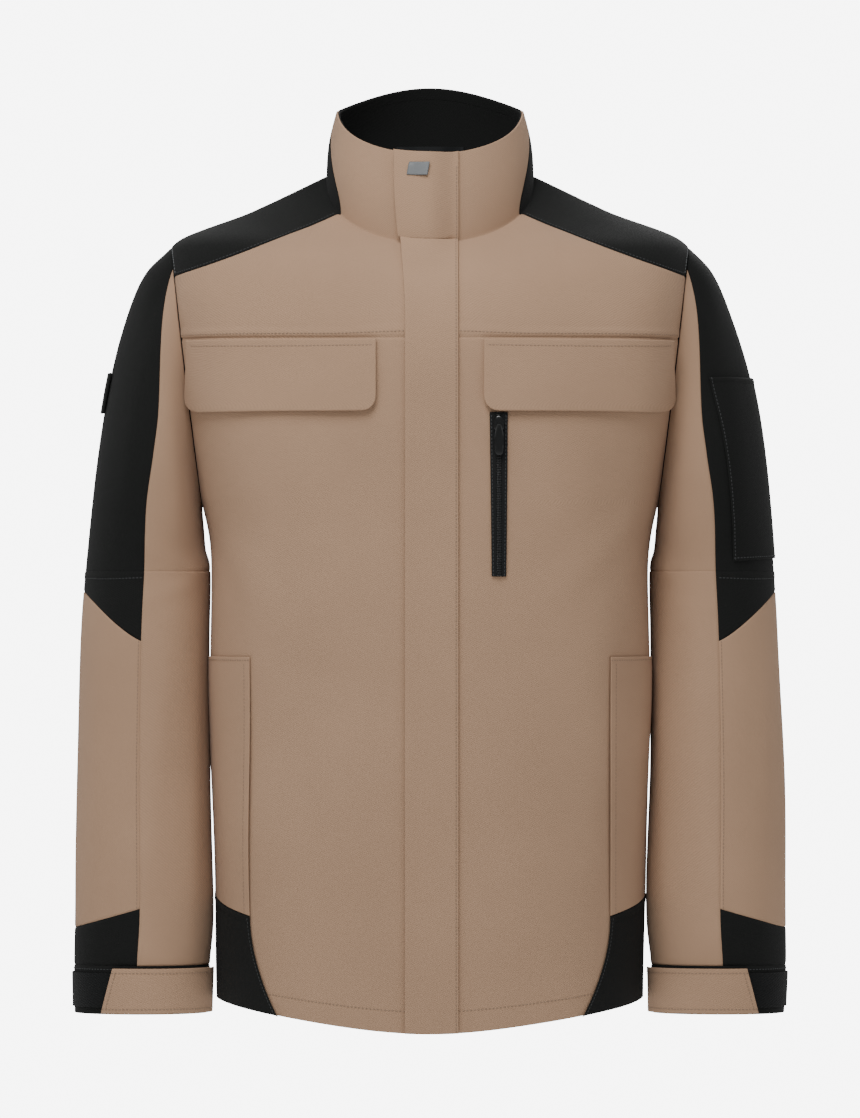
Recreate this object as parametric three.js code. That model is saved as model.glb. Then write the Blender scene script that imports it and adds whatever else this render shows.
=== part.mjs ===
// A work jacket hanging as worn: shell panels, lining, collar, placket, flaps, zips, sleeves and cuffs.
// Millimetres, +Z up, the front faces -Y and +X is the wearer's left. The origin is the hanger loop.
import * as THREE from "three";

// Driving dimensions
const bodyLength = 756; // front hem to the side of the neck
const hemSideRise = 28; // the hem's side above its front
const hemBackRise = 10;
const hemHalfWidth = 187;
const shoulderHalfWidth = 230;
const armpitHalfWidth = 203;
const armholeHeight = 226;
const shoulderDrop = 60; // side of the neck to the shoulder point
const frontDepth = 141;
const backDepth = 135;
const neckHalfWidth = 92;
const neckFrontDepth = 98;
const neckBackDepth = 74;
const neckFrontDrop = 61;
const neckBackRise = 20;
const collarSideHeight = 50;
const collarFrontHeight = 78;
const collarBackHeight = 62;
const collarTaper = 9; // how much narrower the rim is than the neck seam
const sleeveWidth = 118; // at the forearm, seen from the front
const sleeveDepth = 120;
const elbowAboveHem = 404;
const cuffAboveHem = 14;
const cuffBandHeight = 43;
const placketWidth = 47;
const placketSeam = 25; // the sewn edge, from the centre front
const flapDrop = 63;
const flapRound = 13;
const flapInnerMargin = 22; // from the placket seam
const flapOuterMargin = 7; // from the armhole
const pocketZipLength = 144;
const pocketZipWidth = 16;
const handPocketTop = 330;
const handPocketInset = 30; // from the side seam
const cornerHeight = 104;
const cornerWidth = 57;
const strapHeight = 41;
const loopSpan = 60;
const fabric = 1.6; // shell thickness, with its seam allowances
const gap = 0.4;
const seam = 0.3; // half of the space left between panels

const armpitZ = bodyLength - shoulderDrop - armholeHeight;
const chestSeamZ = armpitZ + 0.62 * armholeHeight;
const neckFrontZ = bodyLength - neckFrontDrop;
const half = Math.PI / 2;
const degrees = Math.PI / 180;
const mix = (a, b, t) => a + (b - a) * t;
const clamp01 = (t) => Math.min(1, Math.max(0, t));
const smooth = (t) => clamp01(t) ** 2 * (3 - 2 * clamp01(t));

// Root of a rising function by halving
function solve(rising, low, high) {
  for (let i = 0; i < 36; i++) {
    const mid = (low + high) / 2;
    if (rising(mid) < 0) low = mid;
    else high = mid;
  }
  return (low + high) / 2;
}

// Stations of a loft, read at a fractional index by a Catmull-Rom curve for every field
function readStations(stations, index) {
  const last = stations.length - 1;
  const i = Math.min(last - 1, Math.max(0, Math.floor(index)));
  const t = index - i;
  const before = stations[Math.max(0, i - 1)];
  const after = stations[Math.min(last, i + 2)];
  const out = {};
  for (const key of Object.keys(stations[0])) {
    const p1 = stations[i][key];
    const p2 = stations[i + 1][key];
    const p0 = i > 0 ? before[key] : 2 * p1 - p2;
    const p3 = i + 2 <= last ? after[key] : 2 * p2 - p1;
    const curve = 3 * (p1 - p2) + p3 - p0;
    out[key] = p1 + 0.5 * t * (p2 - p0 + t * (2 * p0 - 5 * p1 + 4 * p2 - p3 + t * curve));
  }
  return out;
}

// ---- Body surface: rings from the hem (0) to the neck seam (10), then the collar to its rim (11) ----
const armholeX = (z) => mix(armpitHalfWidth, shoulderHalfWidth, (z - armpitZ) / armholeHeight);
const level = (z, width, front, back, power) =>
  ({ side: z, front: z, back: z, width, f: front, b: back, power, dip: 1.6 });
const chestZ = mix(armpitZ, chestSeamZ, 0.54);
const waistWidth = mix(hemHalfWidth, armpitHalfWidth, 0.2);
const rings = [
  {
    ...level(hemSideRise, hemHalfWidth, frontDepth - 5, backDepth - 8, 2.4),
    front: 0,
    back: hemBackRise,
  },
  level(0.3 * armpitZ, hemHalfWidth + 0.5, frontDepth - 3, backDepth - 6, 2.4),
  level(0.62 * armpitZ, waistWidth, frontDepth - 1.5, backDepth - 4, 2.4),
  level(0.88 * armpitZ, armpitHalfWidth - 10, frontDepth - 0.5, backDepth - 3, 2.5),
  level(armpitZ + 10, armpitHalfWidth + 2.8, frontDepth, backDepth - 1, 2.7),
  level(chestZ, armholeX(chestZ) + 6, frontDepth + 0.5, backDepth + 1, 2.9),
  level(chestSeamZ, armholeX(chestSeamZ) + 8.5, frontDepth - 0.5, backDepth + 1, 3),
  {
    ...level(armpitZ + 0.84 * armholeHeight, 0, frontDepth - 10, backDepth - 4, 3),
    width: armholeX(armpitZ + 0.84 * armholeHeight) + 6.5,
    front: neckFrontZ - 43,
    back: armpitZ + 0.86 * armholeHeight,
  },
  {
    ...level(armpitZ + armholeHeight + 1, shoulderHalfWidth - 4, neckFrontDepth + 21, 0, 2.6),
    b: neckBackDepth + 44,
    front: neckFrontZ - 23,
    back: bodyLength - 43,
    dip: 1.3,
  },
  {
    ...level(bodyLength - 31, 0, neckFrontDepth + 10, neckBackDepth + 24, 2.2),
    width: mix(neckHalfWidth, shoulderHalfWidth, 0.48),
    front: neckFrontZ - 9,
    back: bodyLength - 6,
    dip: 1,
  },
  {
    ...level(bodyLength, neckHalfWidth, neckFrontDepth, neckBackDepth, 2.05),
    front: neckFrontZ,
    back: bodyLength + neckBackRise,
    dip: 0.9,
  },
];
const rim = {
  ...level(bodyLength + collarSideHeight, neckHalfWidth - collarTaper, neckFrontDepth - 10, 0, 2.05),
  b: neckBackDepth - 6,
  front: neckFrontZ + collarFrontHeight,
  back: bodyLength + neckBackRise + collarBackHeight,
  dip: 1.3,
};

function ringPoint(ring, angle) {
  const s = Math.sin(angle);
  const c = Math.cos(angle);
  const depth = c > 0 ? ring.f : ring.b;
  const sum = Math.abs(s / ring.width) ** ring.power + Math.abs(c / depth) ** ring.power;
  const reach = sum ** (-1 / ring.power);
  const toEnd = Math.abs(c) ** (c > 0 ? ring.dip : 1.5);
  const z = mix(ring.side, c > 0 ? ring.front : ring.back, toEnd);
  return new THREE.Vector3(reach * s, -reach * c, z);
}

function bodyPoint(angle, k) {
  if (k <= 10) return ringPoint(readStations(rings, k), angle);
  const t = k - 10;
  const base = ringPoint(rings[10], angle);
  const point = base.lerp(ringPoint(rim, angle), t);
  const bulge = 2.5 * Math.sin(Math.PI * clamp01(t));
  return point.add(new THREE.Vector3(Math.sin(angle), -Math.cos(angle), 0).multiplyScalar(bulge));
}

// A point and its outward direction on a surface of two parameters
function onSurface(point, a, b, sideways = 0.01, upwards = 0.02) {
  const du = point(a + sideways, b).sub(point(a - sideways, b));
  const dv = point(a, b + upwards).sub(point(a, b - upwards));
  return { p: point(a, b), n: du.cross(dv).normalize() };
}
const body = (angle, k) => onSurface(bodyPoint, angle, k);

const angleAtX = (x, k) => solve((a) => bodyPoint(a, k).x - x, 0, half);
const signedAngle = (x, k) => Math.sign(x) * angleAtX(Math.abs(x), k);

// The body's own coordinates of a place given in front view
function spot(x, z) {
  const top = x < rings[10].width ? 11 : solve((k) => x - readStations(rings, k).width, 7.5, 10);
  const k = solve((q) => bodyPoint(angleAtX(x, q), q).z - z, 0, top);
  return [angleAtX(x, k), k];
}

// ---- Armhole: where a slanted plane cuts the body surface ----
const pastPlane = (angle, k) => {
  const p = bodyPoint(angle, k);
  return p.x - armholeX(p.z);
};
const armholeLow = solve((k) => pastPlane(half, k), 3, 5);
const armholeHigh = solve((k) => -pastPlane(half, k), 7, 8.5);
const armholeRing = (turn) => mix(armholeLow, armholeHigh, 0.5 + 0.5 * Math.cos(turn));
const frontArmhole = (k) => solve((a) => pastPlane(a, k), 0.6, half);
const backArmhole = (k) => Math.PI - solve((a) => pastPlane(Math.PI - a, k), 0.6, half);
function armhole(turn) {
  const k = armholeRing(turn);
  if (Math.sin(turn) >= 0) return [frontArmhole(k), k];
  return [backArmhole(k), k];
}
const inArmhole = (k) => k > armholeLow && k < armholeHigh;
const frontEdge = (k) => (inArmhole(k) ? frontArmhole(k) : half);
const backEdge = (k) => (inArmhole(k) ? backArmhole(k) : half);
const armholeTurn = (k) => Math.acos(2 * (k - armholeLow) / (armholeHigh - armholeLow) - 1);
const planeNormal = new THREE.Vector3(armholeHeight, 0, armpitHalfWidth - shoulderHalfWidth).normalize();
const planeSide = (p) => (p.x - armholeX(p.z)) * planeNormal.x;
function keepSide(sign) {
  return (p) => {
    const d = sign * planeSide(p);
    if (p.z > armpitZ - 20 && d < seam) p.addScaledVector(planeNormal, sign * (seam - d));
  };
}
const bodySide = keepSide(-1);
const sleeveSide = keepSide(1);

// ---- Sleeve surface: rings from the armhole (0) past the elbow (5) to the cuff (10) ----
const topPoint = bodyPoint(...armhole(0));
const pitPoint = bodyPoint(...armhole(Math.PI));
const outerX = shoulderHalfWidth + 75.5; // the sleeve's outer line at the elbow
const sideGap = 3.5;
const bodyWidthAt = (z) => bodyPoint(half, solve((k) => bodyPoint(half, k).z - z, 0, 6)).x;
const innerX = (z) => bodyWidthAt(z) + sideGap;
const sleeveDrop = (t) => mix(topPoint.z, elbowAboveHem, t);
const pitDrop = (t) => mix(pitPoint.z, elbowAboveHem, t);
const upperRing = (t, ox, g, ix, depth) => ({
  ox,
  oz: sleeveDrop(t),
  ix: armholeX(pitDrop(g)) + ix,
  iz: pitDrop(g),
  depth: depth * sleeveDepth,
  y: -2 * t,
});
const lowerRing = (z, wide, depth, y, lift = 0) => ({
  ox: innerX(z) + lift + wide * sleeveWidth,
  oz: z,
  ix: innerX(z) + lift,
  iz: z,
  depth: depth * sleeveDepth,
  y,
});
const forearm = elbowAboveHem - cuffAboveHem - cuffBandHeight;
const sleeveRings = [
  {
    ox: topPoint.x,
    oz: topPoint.z,
    ix: pitPoint.x,
    iz: pitPoint.z,
    depth: 0.54 * sleeveDepth,
    y: 0,
  },
  upperRing(0.085, topPoint.x + 23, 0.09, 0.5, 0.59),
  upperRing(0.225, topPoint.x + 40, 0.23, 0.8, 0.62),
  upperRing(0.42, topPoint.x + 55, 0.41, 1, 0.63),
  upperRing(0.68, topPoint.x + 67, 0.67, 1.4, 0.6),
  {
    ox: outerX,
    oz: elbowAboveHem,
    ix: innerX(elbowAboveHem),
    iz: elbowAboveHem,
    depth: 0.53 * sleeveDepth,
    y: -2,
  },
  lowerRing(elbowAboveHem - 0.18 * forearm, 0.965, 0.51, -5),
  lowerRing(elbowAboveHem - 0.5 * forearm, 1.015, 0.48, -10),
  lowerRing(elbowAboveHem - 0.85 * forearm, 1.045, 0.455, -14, 2),
  lowerRing(cuffAboveHem + cuffBandHeight, 1.02, 0.445, -16, 7),
  lowerRing(cuffAboveHem, 1.0, 0.435, -17, 9),
];

function ovalPoint(ring, turn) {
  const outward = 0.5 + 0.5 * Math.cos(turn);
  const y = ring.y - ring.depth * Math.sin(turn);
  return new THREE.Vector3(mix(ring.ix, ring.ox, outward), y, mix(ring.iz, ring.oz, outward));
}

// An oval that takes on the armhole's own outline towards the shoulder
function sleevePoint(turn, s) {
  const p = ovalPoint(readStations(sleeveRings, s), turn);
  const fade = 1 - smooth(s / 2.4);
  if (fade === 0) return p;
  return p.addScaledVector(bodyPoint(...armhole(turn)).sub(ovalPoint(sleeveRings[0], turn)), fade);
}
const sleeve = (turn, s) => onSurface(sleevePoint, turn, s, 0.02, 0.03);
const sleeveAtHeight = (turn, z) => solve((s) => z - sleevePoint(turn, s).z, 0, 10);

// ---- Making solids ----
function meshOf(points, faces) {
  const flat = points.flatMap((p) => [p.x, p.y, p.z]);
  const geometry = new THREE.BufferGeometry();
  geometry.setAttribute("position", new THREE.Float32BufferAttribute(flat, 3));
  geometry.setIndex(faces);
  geometry.computeVertexNormals();
  return geometry;
}

// A grid of outer and inner points, closed round its rim, or into a tube when it wraps
function closedGrid(outer, inner, wraps = false) {
  const rows = outer.length;
  const cols = outer[0].length;
  const points = [...outer.flat(), ...inner.flat()];
  const at = (side, j, i) => side * rows * cols + j * cols + (i % cols);
  const faces = [];
  const quad = (a, b, c, d) => faces.push(a, b, c, a, c, d);
  const lastCol = wraps ? cols : cols - 1;
  for (let j = 0; j < rows - 1; j++) {
    for (let i = 0; i < lastCol; i++) {
      quad(at(0, j, i), at(0, j, i + 1), at(0, j + 1, i + 1), at(0, j + 1, i));
      quad(at(1, j, i), at(1, j + 1, i), at(1, j + 1, i + 1), at(1, j, i + 1));
    }
  }
  for (let i = 0; i < lastCol; i++) {
    quad(at(1, 0, i), at(1, 0, i + 1), at(0, 0, i + 1), at(0, 0, i));
    quad(at(0, rows - 1, i), at(0, rows - 1, i + 1), at(1, rows - 1, i + 1), at(1, rows - 1, i));
  }
  for (let j = 0; j < rows - 1 && !wraps; j++) {
    quad(at(0, j, 0), at(0, j + 1, 0), at(1, j + 1, 0), at(1, j, 0));
    quad(at(1, j, cols - 1), at(1, j + 1, cols - 1), at(0, j + 1, cols - 1), at(0, j, cols - 1));
  }
  return meshOf(points, faces);
}

// Moves a grid's rim inwards, which leaves the space between neighbouring panels
function pullIn(grid, wraps) {
  const rows = grid.length;
  const cols = grid[0].length;
  const moves = [];
  const pull = (j, i, nj, ni) => {
    const step = grid[nj][ni].clone().sub(grid[j][i]).setLength(seam);
    moves.push([grid[j][i], step]);
  };
  for (let i = 0; i < cols; i++) {
    pull(0, i, 1, i);
    pull(rows - 1, i, rows - 2, i);
  }
  for (let j = 0; j < rows && !wraps; j++) {
    pull(j, 0, j, 1);
    pull(j, cols - 1, j, cols - 2);
  }
  for (const [point, step] of moves) point.add(step);
}

// A panel over u, v in 0 to 1: place gives the surface's own coordinates, low and high its offsets
function panel(surface, place, us, vs, low, high, { wraps = false, keep = null } = {}) {
  const value = (offset, u, v, p) => (typeof offset === "function" ? offset(u, v, p) : offset);
  const pointAt = (offset, u, v) => {
    const { p, n } = surface(...place(u, v));
    return p.clone().addScaledVector(n, value(offset, u, v, p));
  };
  const grids = [high, low].map((offset) => vs.map((v) => us.map((u) => pointAt(offset, u, v))));
  for (const grid of grids) {
    pullIn(grid, wraps);
    if (keep) grid.flat().forEach(keep);
  }
  return closedGrid(grids[0], grids[1], wraps);
}

const steps = (n) => Array.from({ length: n + 1 }, (_, i) => i / n);
const bothEnds = (n) => steps(n).map((t) => 0.5 - 0.5 * Math.cos(Math.PI * t));

// Four edge curves filled in between, each giving surface coordinates
function coons(bottom, top, left, right) {
  return (u, v) => {
    const [b, t, l, r] = [bottom(u), top(u), left(v), right(v)];
    const [b0, b1, t0, t1] = [bottom(0), bottom(1), top(0), top(1)];
    return [0, 1].map((i) => mix(b[i], t[i], v) + mix(l[i], r[i], u)
      - mix(mix(b0[i], b1[i], u), mix(t0[i], t1[i], u), v));
  };
}
const along = (a, b) => (t) => [mix(a[0], b[0], t), mix(a[1], b[1], t)];
// Two curves end to end, meeting at share
const joined = (first, second, share) => (t) =>
  (t <= share ? first(t / share) : second((t - share) / (1 - share)));

// Turns a mesh over, from the wearer's left (+X) to the right
function mirrored(geometry) {
  const copy = geometry.clone();
  copy.scale(-1, 1, 1);
  const index = copy.getIndex().array;
  for (let i = 0; i < index.length; i += 3) [index[i], index[i + 1]] = [index[i + 1], index[i]];
  copy.computeVertexNormals();
  return copy;
}

const finish = (color, roughness, metalness = 0) =>
  new THREE.MeshStandardMaterial({ color, roughness, metalness });
const tan = finish(0xa08874, 0.9);
const black = finish(0x1a1b1a, 0.9);
const liningBlack = finish(0x202223, 0.8);
const greyLabel = finish(0x6f7274, 0.6);
const zipBlack = finish(0x111212, 0.45, 0.1);

const jacket = new THREE.Group();
function add(name, geometry, material) {
  const mesh = new THREE.Mesh(geometry, material);
  mesh.name = name;
  jacket.add(mesh);
}
function addPair(name, geometry, material) {
  add(name + "_left", geometry, material);
  add(name + "_right", mirrored(geometry), material);
}

// ---- Body shell ----
const zipHalfGap = 4; // front edges stand this far from the centre line
// rows that follow the armhole's own spacing above the armpit, up to a given ring
function rowsUpTo(top) {
  const turn = armholeTurn(top);
  return [
    ...steps(5).map((t) => t * armholeLow).slice(0, -1),
    ...steps(6).map((t) => (t === 1 ? top : armholeRing(mix(Math.PI, turn, t)))),
  ];
}
const centreFront = (k) => angleAtX(zipHalfGap, k);
function frontPlace(u, v) {
  return [mix(centreFront(v), frontEdge(v), u), v];
}
const shell = (place, us, vs, keep) => panel(body, place, us, vs, -fabric, 0, { keep });
addPair("front_panel", shell(frontPlace, steps(12), rowsUpTo(6), bodySide), tan);

const seamStartX = neckHalfWidth - 12;
const seamStart = [angleAtX(seamStartX, 10), 10];
const seamEndZ = armpitZ + 0.865 * armholeHeight;
const seamEndRing = solve((k) => bodyPoint(frontArmhole(k), k).z - seamEndZ, 6, armholeHigh - 0.01);
const seamEnd = [frontArmhole(seamEndRing), seamEndRing];
const seamStartPoint = bodyPoint(...seamStart);
const seamEndPoint = bodyPoint(...seamEnd);
function shoulderSeam(t) {
  if (t <= 0) return seamStart;
  if (t >= 1) return seamEnd;
  const x = mix(seamStartPoint.x, seamEndPoint.x, t);
  const z = mix(seamStartPoint.z, seamEndPoint.z, t) - 14 * t * (1 - t);
  return spot(x, z);
}
const neckEdge = along([centreFront(10), 10], seamStart);
const yokeShare = 0.4;
const yokePlace = coons(
  along([centreFront(6), 6], [frontArmhole(6), 6]),
  joined(neckEdge, shoulderSeam, yokeShare),
  (v) => [centreFront(mix(6, 10, v)), mix(6, 10, v)],
  (v) => [frontArmhole(mix(6, seamEndRing, v)), mix(6, seamEndRing, v)]);
const yokeColumns = [
  ...steps(4).map((t) => t * yokeShare),
  ...steps(4).slice(1).map((t) => mix(yokeShare, 1, t)),
];
addPair("chest_yoke", shell(yokePlace, yokeColumns, steps(7), bodySide), tan);

const backYokeRing = 6.4;
const yokeBackRing = 7.35;
const yokeBackNeck = 128 * degrees;
const yokeFrontTurn = armholeTurn(seamEndRing);
const yokeBackTurn = -armholeTurn(yokeBackRing);
const yokeBackLow = [backArmhole(yokeBackRing), yokeBackRing];
const shoulderPlace = coons(
  (u) => armhole(mix(yokeFrontTurn, yokeBackTurn, u)),
  along(seamStart, [yokeBackNeck, 10]),
  (v) => shoulderSeam(1 - v),
  along(yokeBackLow, [yokeBackNeck, 10]));
addPair("shoulder_yoke", shell(shoulderPlace, steps(10), steps(4), bodySide), black);

function backYokeEdge(v) {
  const share = 0.35;
  if (v > share) return along(yokeBackLow, [yokeBackNeck, 10])((v - share) / (1 - share));
  const k = mix(backYokeRing, yokeBackRing, v / share);
  return [backArmhole(k), k];
}
const turned = ([a, k]) => [2 * Math.PI - a, k];
const backYokeLow = [backArmhole(backYokeRing), backYokeRing];
const backYokePlace = coons(
  along(backYokeLow, turned(backYokeLow)),
  along([yokeBackNeck, 10], turned([yokeBackNeck, 10])),
  backYokeEdge, (v) => turned(backYokeEdge(v)));
// both sides of the plane: the far half is kept by its mirror image
function keepBothSides(p) {
  const away = p.x < 0;
  if (away) p.x = -p.x;
  bodySide(p);
  if (away) p.x = -p.x;
}
const backYokeRows = [0, 0.175, ...steps(4).map((t) => mix(0.35, 1, t))];
add("back_yoke", shell(backYokePlace, bothEnds(14), backYokeRows, keepBothSides), black);

const backPlace = (u, k) => [mix(backEdge(k), 2 * Math.PI - backEdge(k), u), k];
add("back_panel", shell(backPlace, bothEnds(14), rowsUpTo(backYokeRing), keepBothSides), tan);

// ---- Lining ----
const liningHigh = -fabric - 6.8 * gap;
// it hangs a little further in across the shoulders, where the shell bends most
const shoulderEase = (k) => 3.5 * smooth((k - 5.8) / 0.8) * (1 - smooth((k - 9) / 0.8));
const liningTop = (u, k) => liningHigh - shoulderEase(k);
const liningUnder = (u, k) => liningTop(u, k) - 1;
const zipTapeEdge = 16;
const liningEdge = (k) => angleAtX(zipTapeEdge + 2, k);
const fullRows = [
  0.15, ...steps(6).slice(1, -1).map((t) => t * armholeLow),
  ...steps(8).map((t) => armholeRing(mix(Math.PI, 0, t))), 9, 9.93,
];
const liningFrontPlace = (u, k) => [mix(liningEdge(k), frontEdge(k), u), k];
const lining = (place, us, keep) => panel(body, place, us, fullRows, liningUnder, liningTop, { keep });
addPair("lining_front", lining(liningFrontPlace, steps(11), bodySide), liningBlack);
add("lining_back", lining(backPlace, bothEnds(14), keepBothSides), liningBlack);

// ---- Collar ----
const collarJoint = 100 * degrees;
const collarFrontPlace = (u, v) => [mix(centreFront(10 + v), collarJoint, u), 10 + mix(0.01, 1, v)];
addPair("collar_front", shell(collarFrontPlace, steps(9), steps(2)), tan);
const collarBackPlace = (u, v) => [mix(collarJoint, 2 * Math.PI - collarJoint, u), 10 + mix(0.01, 1, v)];
add("collar_back", shell(collarBackPlace, steps(14), steps(2)), black);
function collarLiningPlace(u, v) {
  const start = angleAtX(zipTapeEdge + 2, 10 + v);
  return [mix(start, 2 * Math.PI - start, u), 10 + mix(0.03, 0.99, v)];
}
const collarLining = -fabric - 2 * gap;
add("collar_lining",
  panel(body, collarLiningPlace, steps(30), steps(2), collarLining - 1, collarLining), black);

// ---- Pocket bags, between shell and lining ----
const bagHigh = -fabric - 2.25 * gap;
const bagLow = liningHigh + 2.1 * gap;
// A four-cornered place given in front view, as [x, z] corners from low inner round to high inner
function frontViewPlace(lowInner, lowOuter, highOuter, highInner) {
  return (u, v) => {
    const x = mix(mix(lowInner[0], lowOuter[0], u), mix(highInner[0], highOuter[0], u), v);
    const z = mix(mix(lowInner[1], lowOuter[1], u), mix(highInner[1], highOuter[1], u), v);
    return spot(x, z);
  };
}
const pocketX = hemHalfWidth - handPocketInset;
const handBagPlace = frontViewPlace(
  [pocketX - 100, cornerHeight - 10],
  [pocketX + 4, cornerHeight + 10],
  [pocketX + 4, handPocketTop + 8],
  [pocketX - 85, handPocketTop]);
addPair("hand_pocket_bag", panel(body, handBagPlace, steps(5), steps(6), bagLow, bagHigh), liningBlack);
const flapInner = placketSeam + flapInnerMargin;
const flapOuter = armholeX(chestSeamZ) - flapOuterMargin;
const chestBagLow = chestSeamZ - pocketZipLength - flapDrop - 8;
const chestBagPlace = frontViewPlace(
  [flapInner + 8, chestBagLow],
  [flapOuter - 62, chestBagLow],
  [flapOuter - 62, chestSeamZ - 8],
  [flapInner + 8, chestSeamZ - 8]);
addPair("chest_pocket_bag", panel(body, chestBagPlace, steps(7), steps(7), bagLow, bagHigh), liningBlack);

// ---- Overlays on the front: hem corners, pocket facings, flaps ----
const overlayLow = 2.5 * gap;
const overlayHigh = 2.5 * gap + 1;
const cornerX = hemHalfWidth - cornerWidth;
function cornerEdge(v) {
  if (v === 0) return [angleAtX(cornerX, 0), 0];
  const z = mix(10, cornerHeight - 2, v);
  return spot(mix(cornerX, pocketX, Math.sin(half * v) ** 0.85), z);
}
const sideTop = solve((k) => bodyPoint(half, k).z - cornerHeight - 19, 0, 3);
const cornerTop = along(cornerEdge(1), [half, sideTop]);
const cornerPlace = coons(
  along(cornerEdge(0), [half, 0]),
  cornerTop,
  cornerEdge,
  along([half, 0], [half, sideTop]));
const overlay = (place, us, vs) => panel(body, place, us, vs, overlayLow, overlayHigh);
addPair("hem_corner", overlay(cornerPlace, steps(5), steps(6)), black);
const facingTop = spot(pocketX, handPocketTop);
const facingSide = [half, solve((k) => bodyPoint(half, k).z - handPocketTop, 0, 4)];
const facingPlace = coons(
  cornerTop,
  along(facingTop, facingSide),
  (v) => spot(pocketX, mix(cornerHeight - 2, handPocketTop, v)),
  along([half, sideTop], facingSide));
addPair("hand_pocket_facing", overlay(facingPlace, steps(4), steps(8)), tan);

const flapTopZ = chestSeamZ - 1.5;
const flapLow = 1.4;
const flapHigh = 3.4;
function flapPlace(u, v) {
  const z = flapTopZ - flapDrop * (1 - v);
  const above = Math.min(flapRound, z - (flapTopZ - flapDrop));
  const pinch = flapRound - Math.sqrt(flapRound ** 2 - (flapRound - above) ** 2);
  return spot(mix(flapInner + pinch, flapOuter - pinch, u), z);
}
const flapRows = [0, 0.03, 0.1, 0.2, 0.4, 0.7, 1];
addPair("chest_flap", panel(body, flapPlace, steps(12), flapRows, flapLow, flapHigh), tan);

// ---- Chest zip on the wearer's left ----
const zipX = flapInner + 13;
const zipTop = flapTopZ - flapDrop - 1;
function zipPlace(u, v) {
  const x = zipX + (u - 0.5) * pocketZipWidth * mix(0.8, 1, v);
  return spot(x, zipTop - pocketZipLength * (1 - v));
}
const coilHigh = (u) => overlayHigh + (Math.abs(u - 0.5) < 0.13 ? 0.8 : 0);
const tapeColumns = [0, 0.36, 0.38, 0.62, 0.64, 1];
add("chest_zip_tape", panel(body, zipPlace, tapeColumns, steps(5), overlayLow, coilHigh), zipBlack);

const sliderLift = overlayHigh + 1.6;
const plate = (width, height, depth) => new THREE.BoxGeometry(width, depth, height);
function placeAt(geometry, surfacePlace, lift) {
  const { p, n } = body(...surfacePlace);
  return geometry.translate(p.x + n.x * lift, p.y + n.y * lift, p.z + n.z * lift);
}
const zipSpot = (down) => spot(zipX, zipTop - down);
add("chest_zip_slider", placeAt(plate(9, 13, 2), zipSpot(10), sliderLift + 1), zipBlack);
add("chest_zip_puller", placeAt(plate(8, 27, 1.6), zipSpot(24), sliderLift + 3.2), zipBlack);

// ---- Main zip under the placket ----
const toothReach = 3.2;
function zipHalf() {
  const profile = [
    [0.3, -3.8],
    [zipTapeEdge, -3.8],
    [zipTapeEdge, -2.6],
    [toothReach + 0.2, -2.6],
    [toothReach, 0.2],
    [0.3, 0.2],
  ];
  const rows = [...steps(9).map((t) => mix(0.05, 9.9, t)), 10, 10.5, 10.9];
  const points = rows.flatMap((k) => profile.map(([x, lift]) => {
    const { p, n } = body(angleAtX(x, k), k);
    return p.addScaledVector(new THREE.Vector3(0, n.y, n.z).normalize(), lift);
  }));
  const n = profile.length;
  const faces = [];
  for (let j = 0; j < rows.length - 1; j++) {
    for (let i = 0; i < n; i++) {
      const a = j * n + i;
      const b = j * n + (i + 1) % n;
      faces.push(a, b + n, b, a, a + n, b + n);
    }
  }
  const last = (rows.length - 1) * n;
  const fan = [[0, 1, 3], [1, 2, 3], [0, 3, 5], [3, 4, 5]];
  for (const [a, b, c] of fan) faces.push(a, b, c, last + a, last + c, last + b);
  return meshOf(points, faces);
}
addPair("zip_half", zipHalf(), zipBlack);
add("zip_slider", placeAt(plate(10, 12, 2), [0, 10.86], 2.2), zipBlack);
add("zip_puller", placeAt(plate(7, 26, 1.4), [0, 10.66], 4.1), zipBlack);

// ---- Placket: the lower part swings on its sewn edge, the collar end stays with the collar ----
const placketSplit = 6.5;
const placketLift = 9;
const placketFree = (k) => placketSeam - placketWidth - 8 * smooth((k - 8) / 2.4);
const placketPlace = (from, to) => (u, v) => {
  const k = mix(from, to, v);
  const x = mix(placketFree(k), placketSeam, u);
  return [signedAngle(x, k), k];
};
function placketRise(base) {
  return (u, v, p) => {
    const over = smooth((placketSeam - 3 - p.x) / 14);
    return base + placketLift * over * smooth((p.z - neckFrontZ + 30) / 40) * mix(0.6, 1, u);
  };
}
const placketColumns = [0, 0.2, 0.4, 0.6, 0.75, 0.88, 1];
add("placket", panel(body, placketPlace(0, placketSplit), placketColumns, steps(10), 0.9, 2.7), tan);
const collarEndPlace = placketPlace(placketSplit, 11);
add("placket_collar_end",
  panel(body, collarEndPlace, placketColumns, steps(10), placketRise(0.9), placketRise(2.7)), tan);
const labelPlace = (u, v) => {
  const k = 10.72 + 0.15 * v;
  return [signedAngle(mix(-19, -2, u) + 2 * v, k), k];
};
add("placket_label",
  panel(body, labelPlace, steps(3), steps(2), placketRise(3.1), placketRise(3.7)), greyLabel);

// ---- Hanger loop: a ribbon bowed forward at the back neck ----
function hangerLoop() {
  const path = steps(12);
  const outer = [];
  const inner = [];
  for (const height of [0, 7]) {
    const make = (thick) => path.map((t) => {
      const x = mix(-loopSpan / 2, loopSpan / 2, t);
      const k = 10.12;
      const { p } = body(Math.PI - Math.asin(x / neckHalfWidth), k);
      const bow = 6.1 + 9 * smooth(1.35 - Math.abs(2 * t - 1) * 1.35);
      return new THREE.Vector3(x, p.y - bow + thick, bodyLength + neckBackRise + 2 + height);
    });
    outer.push(make(0.6));
    inner.push(make(-0.6));
  }
  return closedGrid(inner, outer);
}
add("hanger_loop", hangerLoop(), liningBlack);
const loopPoint = new THREE.Vector3(0, body(Math.PI, 10.12).p.y - 15.1, bodyLength + neckBackRise + 2);

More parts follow.
